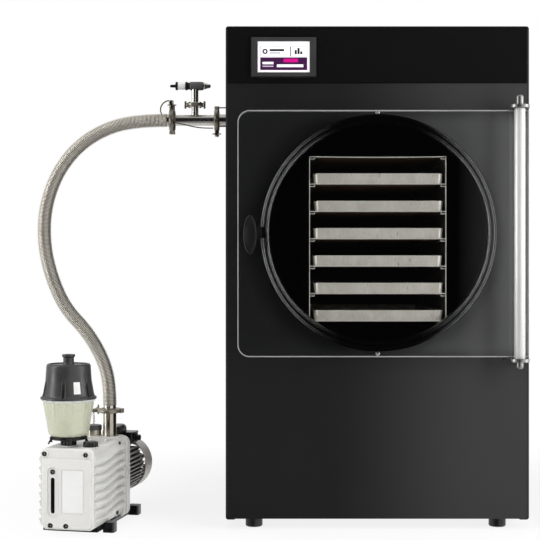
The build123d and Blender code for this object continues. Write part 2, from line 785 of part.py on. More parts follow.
line_bend = 16.0
condenser_top = condenser_z + condenser_h / 2
liquid_x = fan_x + condenser_w / 2 - 24
liquid_z = 380.0
drier_r = 14.0
coil_end_x = coil_r * cos(radians(low_angle)) - 0.6
coil_end_z = drum_z + coil_r * sin(radians(low_angle)) - 0.6
approach_x = coil_end_x + 90 * sin(radians(low_angle))
approach_z = coil_end_z - 90 * cos(radians(low_angle))
coil_last_y = coil_first_y + (coil_passes - 1) * coil_pitch
can_top = compressor_base_z + compressor_h
discharge_points = [
    (compressor_x + 20, compressor_y - 30, can_top),
    (compressor_x + 20, compressor_y - 30, can_top + 40),
    (compressor_x + 60, compressor_y + 60, can_top + 70),
    (fan_x - condenser_w / 2 + 24, condenser_back_y - 24, condenser_top + 40),
    (fan_x - condenser_w / 2 + 24, condenser_back_y - 24, condenser_top),
]
suction_points = [
    (compressor_x - 20, compressor_y + 30, can_top),
    (compressor_x - 20, compressor_y + 30, can_top + 50),
    (approach_x - 150, coil_last_y + 70, approach_z - 60),
    (approach_x, coil_last_y, approach_z),
    (coil_end_x, coil_last_y, coil_end_z),
]
liquid_points = [
    (liquid_x, condenser_back_y - 24, condenser_top),
    (liquid_x, condenser_back_y - 24, liquid_z),
    (liquid_x, coil_first_y + 120, liquid_z),
    (approach_x, coil_first_y, approach_z),
    (coil_end_x, coil_first_y, coil_end_z),
]
with BuildPart() as refrigerant_circuit:
    add(evaporator_coil.part)
    for points in (discharge_points, suction_points, liquid_points):
        with BuildLine() as line_path:
            FilletPolyline(*points, radius=line_bend)
        with BuildSketch(Plane(origin=line_path.line @ 0, z_dir=line_path.line % 0)):
            Circle(coil_tube_r)
        sweep(path=line_path.line)
    # The filter drier is brazed into the liquid line.
    with BuildSketch(facing_front(200)):
        with Locations((liquid_x, liquid_z)):
            Circle(drier_r)
    extrude(amount=110)
    drier_rims = refrigerant_circuit.edges().filter_by(GeomType.CIRCLE)
    fillet(drier_rims.filter_by(lambda rim: abs(rim.radius - drier_r) < 0.01), 5)
save(refrigerant_circuit.part, "refrigerant_circuit")

board_w = 170.0
board_h = 84.0
board_y = front_y + 12.0
board_x = display_x + 20
with BuildPart() as control_board:
    with BuildSketch(facing_front(board_y)):
        with Locations((board_x, display_z)):
            Rectangle(board_w, board_h)
    extrude(amount=-1.6)
    with BuildSketch(facing_front(board_y + 1.6)):
        with Locations((board_x - 40, display_z + 12), (board_x + 46, display_z - 18)):
            Rectangle(34, 34)
        with Locations((board_x + 6, display_z - 20)):
            Rectangle(26, 26)
    extrude(amount=-14)
    with BuildSketch(facing_front(fascia_y + sheet)):
        with Locations((board_x, display_z)):
            with GridLocations(board_w - 12, board_h - 10, 2, 2):
                Circle(3)
    extrude(amount=-(board_y - fascia_y - sheet))
save(control_board.part, "control_board")

rocker_w = 20.0
rocker_h = 24.0
rocker_x = inlet_x + 18
with BuildPart() as power_inlet:
    with BuildSketch(facing_front(back_y)):
        with Locations((inlet_x, inlet_z)):
            RectangleRounded(inlet_w + 14, inlet_h + 10, 4)
    extrude(amount=-2.5)
    with BuildSketch(facing_front(back_y)):
        with Locations((inlet_x, inlet_z)):
            Rectangle(inlet_w - 2 * gap, inlet_h - 2 * gap)
    extrude(amount=32)
    with BuildSketch(facing_front(back_y + 2.5)):
        with Locations((inlet_x - 12, inlet_z)):
            Rectangle(28, 20)
        with Locations((rocker_x, inlet_z)):
            Rectangle(rocker_w, rocker_h)
    extrude(amount=18, mode=Mode.SUBTRACT)
    with BuildSketch(facing_front(back_y - 17)):
        with Locations((inlet_x - 20, inlet_z - 3), (inlet_x - 4, inlet_z - 3), (inlet_x - 12, inlet_z + 4)):
            Rectangle(2, 6)
    extrude(amount=-14)
save(power_inlet.part, "power_inlet")

rocker_y = back_y - 2.0
with BuildPart() as main_switch:
    with BuildSketch(Plane.YZ.offset(rocker_x - rocker_w / 2 + 0.4)) as rocker_outline:
        with BuildLine():
            Polyline(
                (rocker_y + 4.4, inlet_z + rocker_h / 2 - 1.6),
                (rocker_y + 3.0, inlet_z),
                (rocker_y + 7.0, inlet_z - rocker_h / 2 + 2.2),
                (rocker_y - 4.0, inlet_z - rocker_h / 2 + 3.6),
                (rocker_y - 9.0, inlet_z),
                (rocker_y - 4.0, inlet_z + rocker_h / 2 - 3.2),
                close=True,
            )
        make_face()
    extrude(amount=rocker_w - 0.8)
save(main_switch.part, "main_switch")

valve_y = back_y + 26.0
with BuildPart() as drain_valve:
    with BuildLine() as drain_path:
        FilletPolyline(
            (0, drain_drop_y, drum_z - outer - running),
            (0, drain_drop_y, drain_z),
            (0, 250, drain_z),
            (drain_x, 300, drain_z),
            (drain_x, valve_y - 12, drain_z),
            radius=24,
        )
    with BuildSketch(Plane(origin=drain_path.line @ 0, z_dir=drain_path.line % 0)):
        Circle(drain_r)
    sweep(path=drain_path.line)
    with BuildSketch(facing_front(valve_y - 14)):
        with Locations((drain_x, drain_z)):
            RegularPolygon(14, 6)
    extrude(amount=-28)
    with BuildSketch(facing_front(valve_y + 14)):
        with Locations((drain_x, drain_z)):
            Circle(9)
    extrude(amount=-16)
    with BuildSketch(Plane.XY.offset(drain_z)):
        with Locations((drain_x, valve_y)):
            Circle(5)
    extrude(amount=20)
    with BuildSketch(facing_front(valve_y + 30)):
        with Locations((drain_x, drain_z)):
            Circle(6)
    extrude(amount=18, mode=Mode.SUBTRACT)
save(drain_valve.part, "drain_valve")

with BuildPart() as drain_lever:
    with BuildSketch(Plane.XY.offset(drain_z + 20 + gap)):
        with Locations((drain_x, valve_y)):
            Circle(10)
        with Locations((drain_x, valve_y)):
            Rectangle(46, 13, align=(Align.MIN, Align.CENTER))
    extrude(amount=4)
    with BuildSketch(Plane.XY.offset(drain_z + 14 + gap)):
        with Locations((drain_x, valve_y)):
            Circle(10)
            Circle(5 + running, mode=Mode.SUBTRACT)
    extrude(amount=6)
    fillet(drain_lever.faces().sort_by(Axis.X)[-1].edges().filter_by(Axis.Z), 5)
save(drain_lever.part, "drain_lever")

# ---------------------------------------------------------------- vacuum line
with BuildPart() as cabinet_port:
    with BuildLine() as pipe_path:
        FilletPolyline(
            (port_clamp_x + gap / 2, line_y, line_z),
            (pipe_x, line_y, line_z),
            (pipe_x, line_y, drum_z + drum_r - 20),
            radius=pipe_r + 1.6,
        )
    with BuildSketch(Plane(origin=pipe_path.line @ 0, z_dir=pipe_path.line % 0)):
        Circle(pipe_r)
        Circle(line_r, mode=Mode.SUBTRACT)
    sweep(path=pipe_path.line)
    with BuildSketch(facing_left(port_clamp_x + gap / 2)):
        with Locations((-line_y, line_z)):
            Circle(flange_r)
            Circle(line_r, mode=Mode.SUBTRACT)
    extrude(amount=-flange_t)
    with BuildSketch(facing_left(-cabinet_w / 2)):
        with Locations((-line_y, line_z)):
            Circle(pipe_r + 7)
            Circle(pipe_r - 0.8, mode=Mode.SUBTRACT)
    extrude(amount=2.5)
    with BuildSketch(facing_front(drum_back_y)):
        with Locations((0, drum_z)):
            Circle(outer + gap)
    extrude(amount=drum_back_y - drum_rim_y, mode=Mode.SUBTRACT)
save(cabinet_port.part, "cabinet_port")

tee_right_x = port_clamp_x - gap / 2
tee_left_x = hose_clamp_x + gap / 2
branch_top_z = gauge_clamp_z - gap / 2
with BuildPart() as vacuum_tee:
    with BuildSketch(facing_left(tee_left_x)):
        with Locations((-line_y, line_z)):
            Circle(line_r)
    extrude(amount=tee_left_x - tee_right_x)
    with BuildSketch(Plane.XY.offset(line_z)):
        with Locations((branch_x, line_y)):
            Circle(branch_r)
    extrude(amount=branch_top_z - line_z)
    fillet(vacuum_tee.edges().filter_by(GeomType.BSPLINE), 2.5)
    for end_x, way in ((tee_left_x, -1), (tee_right_x - flange_t, -1)):
        with BuildSketch(facing_left(end_x)):
            with Locations((-line_y, line_z)):
                Circle(flange_r)
        extrude(amount=way * flange_t)
    with BuildSketch(Plane.XY.offset(branch_top_z)):
        with Locations((branch_x, line_y)):
            Circle(branch_flange_r)
    extrude(amount=-flange_t)
    with BuildSketch(facing_left(tee_left_x)):
        with Locations((-line_y, line_z)):
            Circle(line_r - line_wall)
    extrude(amount=tee_left_x - tee_right_x, mode=Mode.SUBTRACT)
    with BuildSketch(Plane.XY.offset(line_z)):
        with Locations((branch_x, line_y)):
            Circle(branch_r - line_wall)
    extrude(amount=branch_top_z - line_z, mode=Mode.SUBTRACT)
save(vacuum_tee.part, "vacuum_tee")

clamp_band = 9.0
clamp_t = 14.0
clamp_split = 3.0
ear_half_w = 12.0
ear_out = 9.0
bolt_r = 3.0
wing_w = 7.0
wing_t = 3.5


def flange_clamp(plane, inner_r, neck_r, band, thickness):
    """A closed flange clamp round plane's local Z: hinged jaws, and its bolt with a wing nut.

    The ears stand on local +Y, and the wing nut is on the local +X side of them.
    """
    outer_r = inner_r + gap + band
    bolt_spot = plane.from_local_coords((0, outer_r + ear_out / 2, 0))
    across = Plane(origin=bolt_spot, x_dir=plane.y_dir, z_dir=plane.x_dir)
    shank = ear_half_w + gap
    with BuildPart() as clamp:
        with BuildSketch(plane.offset(-thickness / 2)):
            Circle(outer_r)
            with Locations((0, outer_r + ear_out)):
                Rectangle(2 * ear_half_w, band + ear_out, align=(Align.CENTER, Align.MAX))
            with Locations((0, -outer_r)):
                Circle(band * 0.55)
            Circle(neck_r + gap, mode=Mode.SUBTRACT)
            with Locations((0, neck_r)):
                Rectangle(clamp_split, 2 * outer_r, align=(Align.CENTER, Align.MIN), mode=Mode.SUBTRACT)
        extrude(amount=thickness)
        with BuildSketch(plane.offset(-flange_t - gap)):
            Circle(inner_r + gap)
        extrude(amount=2 * (flange_t + gap), mode=Mode.SUBTRACT)
        with BuildSketch(across.offset(-ear_half_w)):
            Circle(bolt_r + gap)
        extrude(amount=2 * ear_half_w, mode=Mode.SUBTRACT)
        with BuildSketch(across.offset(-shank)):
            Circle(bolt_r)
        extrude(amount=2 * shank)
        with BuildSketch(across.offset(-shank)):
            Circle(bolt_r + 1.5)
        extrude(amount=-3)
        with BuildSketch(across.offset(shank)):
            Circle(bolt_r + 2)
        extrude(amount=6)
        with BuildSketch(across.offset(shank + 1.5)):
            SlotOverall(2 * thickness, wing_w)
        extrude(amount=wing_t)
    return clamp.part


# ---------------------------------------------------------------- pump frame
pump_along = Vector(sin(radians(pump_yaw)), cos(radians(pump_yaw)), 0)
pump_lateral = Vector(cos(radians(pump_yaw)), -sin(radians(pump_yaw)), 0)
pump_frame = Plane(origin=(pump_x, pump_y, 0), x_dir=pump_lateral, z_dir=(0, 0, 1))


def pump_point(lateral, along, height):
    """A point given in the pump's own frame."""
    return pump_frame.from_local_coords((lateral, along, height))


def pump_deck(height):
    """A level plane in the pump's frame: local lateral and along."""
    return pump_frame.offset(height)


def pump_front(along, lateral=0):
    """An upright plane across the pump, facing its front: local lateral and height."""
    return Plane(origin=pump_point(lateral, along, 0), x_dir=pump_lateral, z_dir=-pump_along)


def pump_side(lateral):
    """An upright plane along the pump, facing its right side: local along and height."""
    return Plane(origin=pump_point(lateral, 0, 0), x_dir=pump_along, z_dir=pump_lateral)


def pump_upright(lateral, along):
    """The upright axis at a place on the pump."""
    return Axis(pump_point(lateral, along, 0), (0, 0, 1))



# ---------------------------------------------------------------- clamps and gauge
inlet_lateral = 25.0
inlet_along = 203.0
inlet_r = line_r + 2.3
pump_clamp_z = 250.0
with BuildPart() as vacuum_clamps:
    port_clamp = Plane(origin=(port_clamp_x, line_y, line_z), x_dir=(0, -1, 0), z_dir=(1, 0, 0))
    hose_clamp = Plane(origin=(hose_clamp_x, line_y, line_z), x_dir=(0, -1, 0), z_dir=(-1, 0, 0))
    pump_clamp = Plane(
        origin=pump_point(inlet_lateral, inlet_along, pump_clamp_z), x_dir=pump_along, z_dir=(0, 0, 1)
    )
    gauge_clamp = Plane(origin=(branch_x, line_y, gauge_clamp_z), x_dir=(0, -1, 0), z_dir=(0, 0, 1))
    add(flange_clamp(port_clamp, flange_r, pipe_r, clamp_band, clamp_t))
    add(flange_clamp(hose_clamp, flange_r, pipe_r, clamp_band, clamp_t))
    add(flange_clamp(pump_clamp, flange_r, inlet_r, clamp_band, clamp_t))
    add(flange_clamp(gauge_clamp, branch_flange_r, branch_r, 5.0, 9.0))
save(vacuum_clamps.part, "vacuum_clamps")

gauge_axis = Axis((0, line_y, gauge_z), (1, 0, 0))
gauge_profile = [
    (-58, 2.4), (-55, 3.6), (-47, 3.6), (-47, 10.5), (-42, 10.5), (-42, 8), (-29, 8),
    (-29, 10.5), (-23, 10.5), (-23, 6.5), (-17, 6.5), (-16, 10), (15, 10), (16, 9), (20, 9),
    (20, 9.6), (24, 9.6), (25, 7), (37, 2.2),
]
with BuildPart() as vacuum_gauge:
    with BuildSketch(Plane.XZ.offset(-line_y)):
        with BuildLine():
            outline = [(branch_x + x, gauge_z + r) for x, r in gauge_profile]
            start = (outline[0][0], gauge_z)
            Polyline(start, *outline, (outline[-1][0], gauge_z), close=True)
        make_face()
    revolve(axis=gauge_axis)
    with BuildSketch(Plane.XY.offset(gauge_clamp_z + gap / 2)):
        with Locations((branch_x, line_y)):
            Circle(branch_flange_r)
    extrude(amount=flange_t)
    with BuildSketch(Plane.XY.offset(gauge_clamp_z + gap / 2)):
        with Locations((branch_x, line_y)):
            Circle(branch_r)
    extrude(amount=gauge_z - gauge_clamp_z)
save(vacuum_gauge.part, "vacuum_gauge")

# ---------------------------------------------------------------- hose and bonding wire
hose_start = 12.0  # from the clamp's middle to the corrugated tube


def bend_radii(points):
    """The largest radius each corner of a route has room for."""
    radii = []
    for before, here, after in zip(points, points[1:], points[2:]):
        run_in = Vector(here) - Vector(before)
        run_out = Vector(after) - Vector(here)
        half_turn = radians(run_in.get_angle(run_out)) / 2
        radii.append(0.45 * min(run_in.length, run_out.length) / tan(half_turn))
    return radii


hose_points = [
    (-476, -210, 920),
    (-530, -210, 920),
    (-608, -213, 906),
    (-680, -219, 863),
    (-731, -227, 795),
    (-757, -236, 712),
    (-757, -244, 628),
    (-738, -251, 552),
    (-706, -257, 483),
    (-655, -262, 430),
    (-618, -266, 368),
    (-602.3, -268.7, 310),
    (-602.3, -268.7, 262),
]
wire_r = 1.25
wire_points = [
    (-456.6, -228, 913),
    (-438, -230, 909),
    (-415, -231, 903),
    (-390, -230, 899.5),
    (-367.4, -228, 900),
]
with BuildPart() as vacuum_hose:
    hose_radii = bend_radii(hose_points)
    with BuildLine() as hose_path:
        FilletPolyline(*hose_points, radius=hose_radii)
    with BuildSketch(Plane(origin=hose_path.line @ 0, z_dir=hose_path.line % 0)):
        Circle(hose_r)
    sweep()
print("hose radii", [round(r) for r in hose_radii], "length", round(hose_path.wire().length, 1))
hose_volume = pi * hose_r**2 * hose_path.wire().length
print("hose volume over section times length", round(vacuum_hose.part.volume / hose_volume, 4))
save(vacuum_hose.part, "vacuum_hose")

with BuildPart() as bonding_wire:
    wire_radii = bend_radii(wire_points)
    with BuildLine() as wire_path:
        FilletPolyline(*wire_points, radius=wire_radii)
    with BuildSketch(Plane(origin=wire_path.line @ 0, z_dir=wire_path.line % 0)):
        Circle(wire_r)
    sweep()
print("wire radii", [round(r) for r in wire_radii], "length", round(wire_path.wire().length, 1))
wire_volume = pi * wire_r**2 * wire_path.wire().length
print("wire volume over section times length", round(bonding_wire.part.volume / wire_volume, 4))
save(bonding_wire.part, "bonding_wire")

with BuildPart() as hose_ends:
    for plane, reach in (
        (hose_clamp.offset(gap / 2), hose_start),
        (pump_clamp.offset(gap / 2), hose_start),
    ):
        with BuildSketch(plane):
            Circle(flange_r)
            Circle(line_r, mode=Mode.SUBTRACT)
        extrude(amount=flange_t)
        with BuildSketch(plane):
            Circle(pipe_r)
            Circle(line_r, mode=Mode.SUBTRACT)
        extrude(amount=reach - gap / 2)
save(hose_ends.part, "hose_ends")

# ---------------------------------------------------------------- vacuum pump
case_mid_z = (case_top + case_bottom) / 2
case_h = case_top - case_bottom
cover_proud = 4.0
sight_lateral = -32.0
sight_w = 9.0
sight_h = 77.0
sight_z = 88.5
label_lateral = 14.0
label_z = 98.0
label_w = 52.0
label_h = 94.0
front_screws = [(-51, 177), (42, 177), (-37, 24), (-2, 24), (sight_lateral, 139)]
side_screws = [(165, 180), (150, 28)]
screw_head_r = 4.5
flange_along = case_length
flange_w = case_w + 14
filter_lateral = -14.0
filter_along = 45.0
filler_lateral = 42.0
filler_along = 30.0
filler_r = 16.0
port_lateral = -14.0
port_along = 205.0
port_r = 16.5
seat_depth = 3.0
motor_start = flange_along + flange_plate_t
motor_end = motor_start + motor_length

with BuildPart() as pump_oil_case:
    with BuildSketch(pump_front(0)):
        with Locations((0, case_mid_z)):
            RectangleRounded(case_w, case_h, case_corner)
    extrude(amount=-case_length)
    with BuildSketch(pump_front(0)):
        with Locations((0, case_mid_z)):
            RectangleRounded(case_w - 8, case_h - 8, case_corner)
    extrude(amount=cover_proud, taper=20)
    # The cast flange that the motor bolts to.
    with BuildSketch(pump_front(flange_along)):
        with Locations((0, case_mid_z)):
            RectangleRounded(flange_w, case_h, case_corner)
    extrude(amount=-flange_plate_t)
    # Cooling ribs on both sides run back in a shallow wave.
    for side in (-1, 1):
        for number in range(rib_count):
            rib_z = rib_first_z + number * rib_pitch
            with BuildLine(pump_side(side * (case_w / 2 - 1))) as rib_path:
                FilletPolyline(
                    (rib_start, rib_z + rib_wave),
                    (55, rib_z - rib_wave),
                    (case_length - 62, rib_z + 1.5 * rib_wave),
                    (case_length + 1, rib_z),
                    radius=60,
                )
            rib_plane = Plane(
                origin=pump_point(side * (case_w / 2 - 1), rib_start, rib_z + rib_wave),
                x_dir=pump_lateral,
                z_dir=pump_along,
            )
            with BuildSketch(rib_plane):
                with BuildLine():
                    Polyline(
                        (0, -6.5),
                        (side * (rib_out + 1), -1.2),
                        (side * (rib_out + 1), 1.2),
                        (0, 6.5),
                        close=True,
                    )
                make_face()
            sweep(path=rib_path.line)
    # Sight glass recess, label seat and screw seats in the front.
    with BuildSketch(pump_front(-cover_proud)):
        with Locations((sight_lateral, (sight_z + 8))):
            SlotOverall(106, 22, rotation=90)
        with Locations((label_lateral, label_z)):
            RectangleRounded(label_w, label_h, 3)
    extrude(amount=-1.6, mode=Mode.SUBTRACT)
    with BuildSketch(pump_front(-cover_proud)):
        with Locations((sight_lateral, sight_z)):
            SlotOverall(sight_h, sight_w, rotation=90)
    extrude(amount=-8, mode=Mode.SUBTRACT)
    with BuildSketch(pump_front(-cover_proud)):
        with Locations(*front_screws):
            Circle(screw_head_r + 1.5)
    extrude(amount=-cover_proud - 1, mode=Mode.SUBTRACT)
    with BuildSketch(pump_deck(case_top)):
        with Locations(
            (filler_lateral, filler_along),
            (filter_lateral, filter_along),
            (port_lateral, port_along),
        ):
            Circle(filler_r - 3)
    extrude(amount=-seat_depth, mode=Mode.SUBTRACT)
save(pump_oil_case.part, "pump_oil_case")

with BuildPart() as pump_screws:
    with BuildSketch(pump_front(1)):
        with Locations(*front_screws):
            Circle(screw_head_r)
            RegularPolygon(2.4, 6, mode=Mode.SUBTRACT)
    extrude(amount=cover_proud)
    with BuildSketch(pump_side(case_w / 2)):
        with Locations(*side_screws):
            Circle(screw_head_r)
            RegularPolygon(2.4, 6, mode=Mode.SUBTRACT)
    extrude(amount=4)
save(pump_screws.part, "pump_screws")

with BuildPart() as sight_glass:
    with BuildSketch(pump_front(-cover_proud + 8)):
        with Locations((sight_lateral, sight_z)):
            SlotOverall(sight_h - 2 * gap, sight_w - 2 * gap, rotation=90)
    extrude(amount=5.4)
save(sight_glass.part, "sight_glass")

with BuildPart() as filler_cap:
    with BuildSketch(pump_deck(case_top + gap)):
        with Locations((filler_lateral, filler_along)):
            Circle(filler_r)
            with PolarLocations(filler_r + 1.4, 12):
                Circle(2.4, mode=Mode.SUBTRACT)
    extrude(amount=12.5)
    with BuildSketch(pump_deck(case_top - seat_depth + gap)):
        with Locations((filler_lateral, filler_along)):
            Circle(filler_r - 3 - running)
    extrude(amount=seat_depth)
save(filler_cap.part, "filler_cap")

neck_top = 211.0
bowl_top = 292.0
lid_top = 368.0
nipple_top = 388.0
nipple_r = 11.5
nipple_lip_r = 14.0
nipple_lip = 5.0
neck_profile = [
    (0, case_top - seat_depth),
    (13 - gap, case_top - seat_depth),
    (13 - gap, case_top),
    (17, case_top),
    (17, case_top + 4),
    (15, case_top + 5),
    (15, 200),
    (24, 202.5),
    (34, 205),
    (35, neck_top),
    (0, neck_top),
]
bowl_outer = [
    (0, neck_top),
    (33, neck_top),
    (39, neck_top + 2),
    (43.5, neck_top + 8),
    (45.5, neck_top + 18),
    (52.5, bowl_top - 10),
    (54, bowl_top - 5),
    (58, bowl_top - 4),
    (58, bowl_top),
    (0, bowl_top),
]
bowl_inner = [
    (0, neck_top + 3),
    (32, neck_top + 3),
    (37.5, neck_top + 5),
    (41, neck_top + 10),
    (43, neck_top + 19),
    (50, bowl_top - 10),
    (51.5, bowl_top),
    (0, bowl_top),
]
lid_outer = [
    (0, bowl_top),
    (60.5, bowl_top),
    (60.5, bowl_top + 4),
    (57, bowl_top + 6.5),
    (53, bowl_top + 12),
    (47.5, lid_top - 6),
    (44, lid_top - 1.5),
    (41, lid_top),
    (12.5, lid_top),
    (nipple_r, lid_top + 2),
    (nipple_r, nipple_top - nipple_lip),
    (nipple_lip_r, nipple_top - nipple_lip),
    (nipple_lip_r, nipple_top),
    (0, nipple_top),
]
lid_inner = [
    (0, bowl_top),
    (55, bowl_top),
    (55, bowl_top + 4),
    (50, bowl_top + 12),
    (44.5, lid_top - 7),
    (41, lid_top - 3),
    (8.5, lid_top - 3),
    (8.5, nipple_top),
    (0, nipple_top),
]
filter_plane = pump_front(filter_along, filter_lateral)
filter_axis = pump_upright(filter_lateral, filter_along)
with BuildPart() as filter_neck:
    with BuildSketch(filter_plane):
        with BuildLine():
            Polyline(*neck_profile, close=True)
        make_face()
    revolve(axis=filter_axis)
    # Toggle lugs of the clamp ring under the bowl.
    with BuildSketch(pump_deck(204)):
        with Locations((filter_lateral, filter_along)):
            with PolarLocations(36, 3, start_angle=170):
                Rectangle(12, 9)
    extrude(amount=6)
    with BuildSketch(pump_deck(neck_top)):
        with Locations((filter_lateral, filter_along)):
            Circle(11)
    extrude(amount=-30, mode=Mode.SUBTRACT)
save(filter_neck.part, "filter_neck")

with BuildPart() as filter_bowl:
    with BuildSketch(filter_plane.offset(0)):
        with BuildLine():
            Polyline(*bowl_outer, close=True)
        make_face()
    revolve(axis=filter_axis)
    with BuildSketch(filter_plane):
        with BuildLine():
            Polyline(*bowl_inner, close=True)
        make_face()
    revolve(axis=filter_axis, mode=Mode.SUBTRACT)
    with BuildSketch(pump_deck(neck_top)):
        with Locations((filter_lateral, filter_along)):
            Circle(11)
    extrude(amount=3, mode=Mode.SUBTRACT)
save(filter_bowl.part, "filter_bowl")

with BuildPart() as filter_lid:
    with BuildSketch(filter_plane):
        with BuildLine():
            Polyline(*lid_outer, close=True)
        make_face()
    revolve(axis=filter_axis)
    with BuildSketch(filter_plane):
        with BuildLine():
            Polyline(*lid_inner, close=True)
        make_face()
    revolve(axis=filter_axis, mode=Mode.SUBTRACT)
save(filter_lid.part, "filter_lid")

inlet_top = pump_clamp_z - gap / 2
with BuildPart() as pump_ports:
    with BuildSketch(pump_deck(case_top)):
        with Locations((inlet_lateral, inlet_along)):
            Circle(inlet_r + 5)
    extrude(amount=4)
    with BuildSketch(pump_deck(case_top)):
        with Locations((inlet_lateral, inlet_along)):
            Circle(inlet_r)
    extrude(amount=inlet_top - case_top)
    with BuildSketch(pump_deck(inlet_top)):
        with Locations((inlet_lateral, inlet_along)):
            Circle(flange_r)
    extrude(amount=-flange_t)
    with BuildSketch(pump_deck(case_top)):
        with Locations((inlet_lateral, inlet_along)):
            Circle(line_r)
    extrude(amount=inlet_top - case_top, mode=Mode.SUBTRACT)
    with BuildSketch(pump_deck(case_top)):
        with Locations((port_lateral, port_along)):
            Circle(port_r)
    extrude(amount=15)
save(pump_ports.part, "pump_ports")

with BuildPart() as port_cap:
    with BuildSketch(pump_deck(case_top + 15)):
        with Locations((port_lateral, port_along)):
            Circle(port_r + 1.5)
    extrude(amount=11)
    fillet(port_cap.faces().sort_by(Axis.Z)[-1].edges(), 2)
save(port_cap.part, "port_cap")

fan_cover_start = motor_end - 6
shaft_r = 7.0
with BuildPart() as pump_motor:
    with BuildSketch(pump_front(motor_start)):
        with Locations((0, motor_z)):
            Circle(motor_core_r)
        for number in range(-6, 7):
            fin_z = number * 8.6
            with Locations((0, motor_z + fin_z)):
                Rectangle(2 * sqrt(motor_r**2 - fin_z**2), 3)
    extrude(amount=-motor_length + 8)
    with BuildSketch(pump_front(motor_start)):
        with Locations((0, motor_z)):
            Circle(shaft_r)
    extrude(amount=-motor_length - 30)
save(pump_motor.part, "pump_motor")

with BuildPart() as pump_fan_cover:
    with BuildSketch(pump_front(fan_cover_start)):
        with Locations((0, motor_z)):
            Circle(fan_cover_r)
    extrude(amount=-fan_cover_length)
    fillet(pump_fan_cover.faces().sort_by(Axis(pump_point(0, 0, 0), pump_along))[-1].edges(), 14)
    offset(amount=-2, openings=pump_fan_cover.faces().sort_by(Axis(pump_point(0, 0, 0), pump_along))[0])
    with BuildSketch(pump_front(fan_cover_start + fan_cover_length)):
        with Locations((0, motor_z)):
            for ring in (16, 27, 38):
                with PolarLocations(ring, 10):
                    Rectangle(6, ring * 0.42, mode=Mode.ADD)
    extrude(amount=6, mode=Mode.SUBTRACT)
save(pump_fan_cover.part, "pump_fan_cover")

with BuildPart() as pump_fan:
    with BuildSketch(pump_front(motor_end + 4)):
        with Locations((0, motor_z)):
            Circle(14)
            with PolarLocations(30, 8):
                Rectangle(36, 3)
            Circle(shaft_r + running, mode=Mode.SUBTRACT)
    extrude(amount=-18)
save(pump_fan.part, "pump_fan")

handle_lateral = 10.0
handle_w = 26.0
handle_t = 13.0
handle_top = 206.0
handle_start = flange_along + flange_plate_t
handle_length = 92.0
with BuildPart() as pump_handle:
    with BuildSketch(pump_side(handle_lateral + handle_w / 2)) as handle_outline:
        with BuildLine():
            Polyline(
                (handle_start, 176),
                (handle_start, handle_top - 8),
                (handle_start + 14, handle_top),
                (handle_start + handle_length - 16, handle_top),
                (handle_start + handle_length, handle_top - 14),
                (handle_start + handle_length, 162),
                (handle_start + handle_length - 16, 162),
                (handle_start + handle_length - 18, handle_top - 22),
                (handle_start + handle_length - 26, handle_top - handle_t),
                (handle_start + 16, handle_top - handle_t),
                (handle_start + 9, 176),
                close=True,
            )
        make_face()
    extrude(amount=-handle_w)
    fillet(pump_handle.edges().filter_by(lambda e: e.length > 60).group_by(Axis.Z)[-1], 4)
save(pump_handle.part, "pump_handle")

box_along = handle_start + handle_length + 2
with BuildPart() as terminal_box:
    with BuildSketch(pump_deck(158)):
        with Locations((6, box_along + 25)):
            RectangleRounded(72, 50, 6)
    extrude(amount=26)
    fillet(terminal_box.faces().sort_by(Axis.Z)[-1].edges(), 3)
    with BuildSketch(pump_front(motor_start)):
        with Locations((0, motor_z)):
            Circle(motor_r + gap)
    extrude(amount=-motor_length, mode=Mode.SUBTRACT)
    with BuildSketch(pump_front(fan_cover_start - gap)):
        with Locations((0, motor_z)):
            Circle(fan_cover_r + gap)
    extrude(amount=-fan_cover_length, mode=Mode.SUBTRACT)
save(terminal_box.part, "terminal_box")

pump_feet = [(77.0, 69.0), (280.0, 59.0)]  # along and lateral places of each pair
with BuildPart() as pump_base:
    with BuildSketch(pump_deck(6)):
        with Locations((0, 165)):
            Rectangle(112, 262)
            Rectangle(70, 190, mode=Mode.SUBTRACT)
        for foot_along, foot_lateral in pump_feet:
            with Locations((0, foot_along)):
                Rectangle(2 * foot_lateral, 22)
    extrude(amount=9 - gap)
    with BuildSketch(pump_deck(0)):
        for foot_along, foot_lateral in pump_feet:
            with Locations((-foot_lateral, foot_along), (foot_lateral, foot_along)):
                RectangleRounded(26, 26, 5)
    extrude(amount=22)
    with BuildSketch(pump_deck(case_bottom - gap)):
        with Locations((0, flange_along / 2)):
            Rectangle(case_w + 2 * gap, flange_along + 2)
    extrude(amount=22, mode=Mode.SUBTRACT)
    with BuildSketch(pump_deck(9)):
        with Locations((0, motor_start + 40)):
            Rectangle(50, 20)
    extrude(amount=motor_z - motor_r - 9 + 4)
    with BuildSketch(pump_front(motor_start)):
        with Locations((0, motor_z)):
            Circle(motor_r + gap)
    extrude(amount=-motor_length, mode=Mode.SUBTRACT)
save(pump_base.part, "pump_base")
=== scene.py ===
"""A cabinet freeze dryer and its vacuum pump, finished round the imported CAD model.

Sizes are in metres, apart from the profiles of turned shapes, which are in millimetres.
"""

import math

import bmesh
import bpy
from mathutils import Matrix, Vector


